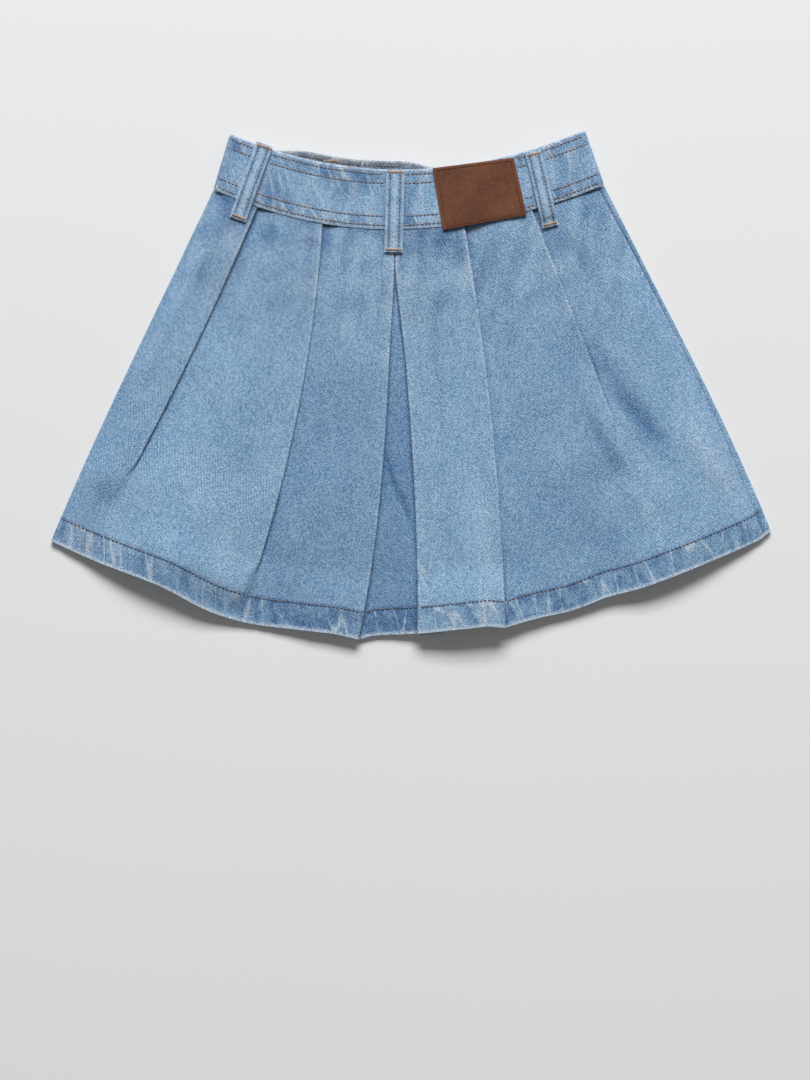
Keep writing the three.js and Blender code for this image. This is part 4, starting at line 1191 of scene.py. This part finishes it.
def roped(n, run, down, rope):
    """Pale veins and deep pools, where a stitched edge twisted in the wash."""
    leaning = n.less(run, n.times(down, VEIN_LEAN))
    vein = n.noise(n.vector(leaning, n.times(down, 0.15), 5), 0.11, 0)
    vein = n.span(n.math("ABSOLUTE", n.less(vein, 0.5)), *VEIN_WIDTH, 1.0, 0.0)
    strong = n.span(n.noise(n.vector(run, down, 17), 0.09, 1), 0.38, 0.54, 0.3, 1.0)
    pools = n.span(n.noise(n.vector(leaning, n.times(down, 0.55), 9), 0.12, 2, 0.6), 0.42, 0.62)
    return n.times(n.times(vein, strong), rope), n.times(pools, rope)


def denim(name, yarns, deep_yarns, white):
    """Washed twill. Colours are as on a screen, each pair of yarns the dark one first."""
    n = Nodes(name)
    run, down, rope = n.attribute("run"), n.attribute("down"), n.attribute("rope")
    tone = twill_tone(n, run, down)
    veins, pools = roped(n, run, down, rope)
    shade = n.add(n.attribute("shade"), n.times(pools, POOL_SHADE))
    shade = n.add(shade, n.times(rope, ROPE_SHADE), clamp=True)
    wear = n.add(n.attribute("wear"), n.times(veins, VEIN_WEAR))
    wear = n.times(wear, n.span(tone, 0.1, 0.9, 0.35, 1.25), clamp=True)
    dark, light = [n.blend(shade, linear(*a), linear(*b)) for a, b in zip(yarns, deep_yarns)]
    colour = n.blend(wear, n.blend(tone, dark, light), linear(*white))
    n.bump(n.add(tone, n.times(veins, 1.5)), 0.5, 0.0003)
    return n.finish(colour, 0.92, Sheen_Weight=0.08, Sheen_Roughness=0.5, Specular_IOR_Level=0.15)


def leather():
    n = Nodes("patch_leather")
    place = n.vector(n.attribute("run"), n.attribute("down"), 0)
    clouds = n.noise(place, 0.045, 4, 0.6)
    grain = n.noise(place, 1.6, 5, 0.7)
    colour = n.blend(n.span(clouds, 0.35, 0.65), linear(96, 58, 41), linear(121, 76, 51))
    scuffs = n.noise(place, 0.4, 4, 0.75)
    colour = n.blend(n.span(scuffs, 0.52, 0.68, 0.0, 0.5), colour, linear(146, 104, 78))
    colour = n.blend(n.span(grain, 0.42, 0.7, 0.0, 0.8), colour, linear(70, 42, 32))
    colour = n.blend(n.times(n.attribute("shade"), 0.4, clamp=True), colour, linear(124, 66, 34))
    n.bump(grain, 0.4, 0.0003)
    return n.finish(colour, 0.75, Specular_IOR_Level=0.25)


def yarn(name, light, dark):
    """Thread, mottled between two screen colours."""
    n = Nodes(name)
    colour = n.blend(n.span(n.noise(n.object_place(), 420, 2), 0.35, 0.65), linear(*dark), linear(*light))
    return n.finish(colour, 0.75)


def metal():
    n = Nodes("button_metal")
    colour = n.blend(n.noise(n.object_place(), 260, 3), linear(120, 114, 104), linear(180, 174, 164))
    return n.finish(colour, 0.38, Metallic=1.0)


def floor_paint():
    n = Nodes("floor_paint")
    colour = n.blend(n.noise(n.object_place(), 1.4, 2), (0.80, 0.80, 0.80), (0.815, 0.815, 0.815))
    return n.finish(colour, 0.8)


# Assembly
outside = denim("denim_outside", ((95, 132, 169), (162, 193, 218)), ((52, 86, 132), (112, 146, 182)),
                (200, 214, 225))
inside = denim("denim_inside", ((118, 140, 166), (176, 192, 208)), ((80, 106, 142), (150, 170, 194)),
               (214, 220, 226))
# The inside of the band where it shows: greyer like the cloth's reverse, and darker with painted shade
band_inside_painted_shade = denim("denim_band_inside", ((84, 98, 118), (138, 150, 162)), ((60, 74, 98), (104, 118, 136)),
                    (196, 202, 206))
grey_thread = yarn("hem_thread", (118, 112, 114), (80, 84, 94))
brown_thread = yarn("topstitch_thread", (160, 144, 136), (104, 103, 110))
orange_thread = yarn("bar_tack_thread", (204, 180, 160), (160, 132, 116))
dark_thread = yarn("patch_thread", (96, 58, 40), (52, 32, 26))

cloth = [outside, inside]
back = back_panel(cloth)
front_left = front_left_panel(cloth)
front_right = front_right_panel(cloth)
band = waistband([outside, band_inside_painted_shade])
under_loops = tree_of(back, front_left, front_right, band)
strips = [Strip(loop, under_loops) for loop in LOOPS]
loops = [belt_loop(loop, strip, cloth) for loop, strip in zip(LOOPS, strips)]
patch = leather_patch([leather()], tree_of(band, back))
BUTTON_PROFILE = table("radius z", [
    (5.6, 0.45), (6.2, 0.05), (7.7, 0.0), (8.4, 0.5), (8.5, 0.9),
    (8.3, 1.3), (7.0, 1.45), (3.8, 1.6), (3.8, 2.3),
])
button_place = band_point(band_place(CENTRE_FRONT_X), 0.5, True)
button = lathe("button_metalwork", BUTTON_PROFILE, button_place, metal())

hem_sewing = sew_hem([back, front_left, front_right], grey_thread)
band_sewing = sew_band(band, loops, patch, brown_thread)
loop_sewing, bar_tacks = sew_loops(loops, strips, brown_thread, orange_thread, band)
patch_sewing = sew_patch(patch, dark_thread)

MADE = {
    back: "back_panel",
    front_left: "front_left_panel",
    front_right: "front_right_panel",
    band: "waistband",
    patch: "leather_patch",
    button: "button",
    **{obj: loop["name"] for obj, loop in zip(loops, LOOPS)},
}
for obj, node in MADE.items():
    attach(obj, "root")
    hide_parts(node)
for obj in (hem_sewing, band_sewing, loop_sewing, bar_tacks, patch_sewing):
    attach(obj, "root")

# Floor, light and camera
bpy.ops.mesh.primitive_plane_add(size=12)
floor = bpy.context.object
floor.name = "floor"
floor.location.z = -0.0001
floor.data.materials.append(floor_paint())


def area_light(name, place, target, size, power, colour):
    data = bpy.data.lights.new(name, "AREA")
    data.shape, data.size, data.size_y = "RECTANGLE", size[0], size[1]
    data.energy, data.color = power, colour
    lamp = bpy.data.objects.new(name, data)
    lamp.location = place
    lamp.rotation_euler = (Vector(target) - Vector(place)).to_track_quat("-Z", "Y").to_euler()
    bpy.context.scene.collection.objects.link(lamp)


LIGHTS = table("name place target size power colour", [
    ("window", (0.1, 4.2, 3.6), (0, -0.1, 0), (3.4, 2.0), 392, (1, 1, 1)),
    ("fill", (0.3, -1.2, 2.4), (0, 0, 0), (2.4, 2.4), 4, (1, 0.96, 0.92)),
])
ROOM_LIGHT = 0.13
for light in LIGHTS:
    area_light(**light)

scene = bpy.context.scene
world = bpy.data.worlds.new("room")
world.use_nodes = True
world.node_tree.nodes["Background"].inputs["Color"].default_value = (1, 1, 1, 1)
world.node_tree.nodes["Background"].inputs["Strength"].default_value = ROOM_LIGHT
scene.world = world
scene.view_settings.view_transform = "Standard"

VIEW_CENTRE, CLOTH_TOP = (-0.0042, -0.1085), 0.008
VIEW_HEIGHT = 1.9  # from the cloth to the camera
VIEW_LENGTH = 0.756  # of the surface, along the picture's long side
SENSOR_LENGTH = 36
camera_data = bpy.data.cameras.new("camera")
camera_data.sensor_width = SENSOR_LENGTH
camera_data.lens = SENSOR_LENGTH * VIEW_HEIGHT / VIEW_LENGTH
camera = bpy.data.objects.new("camera", camera_data)
camera.location = (*VIEW_CENTRE, VIEW_HEIGHT + CLOTH_TOP)
scene.collection.objects.link(camera)
scene.camera = camera
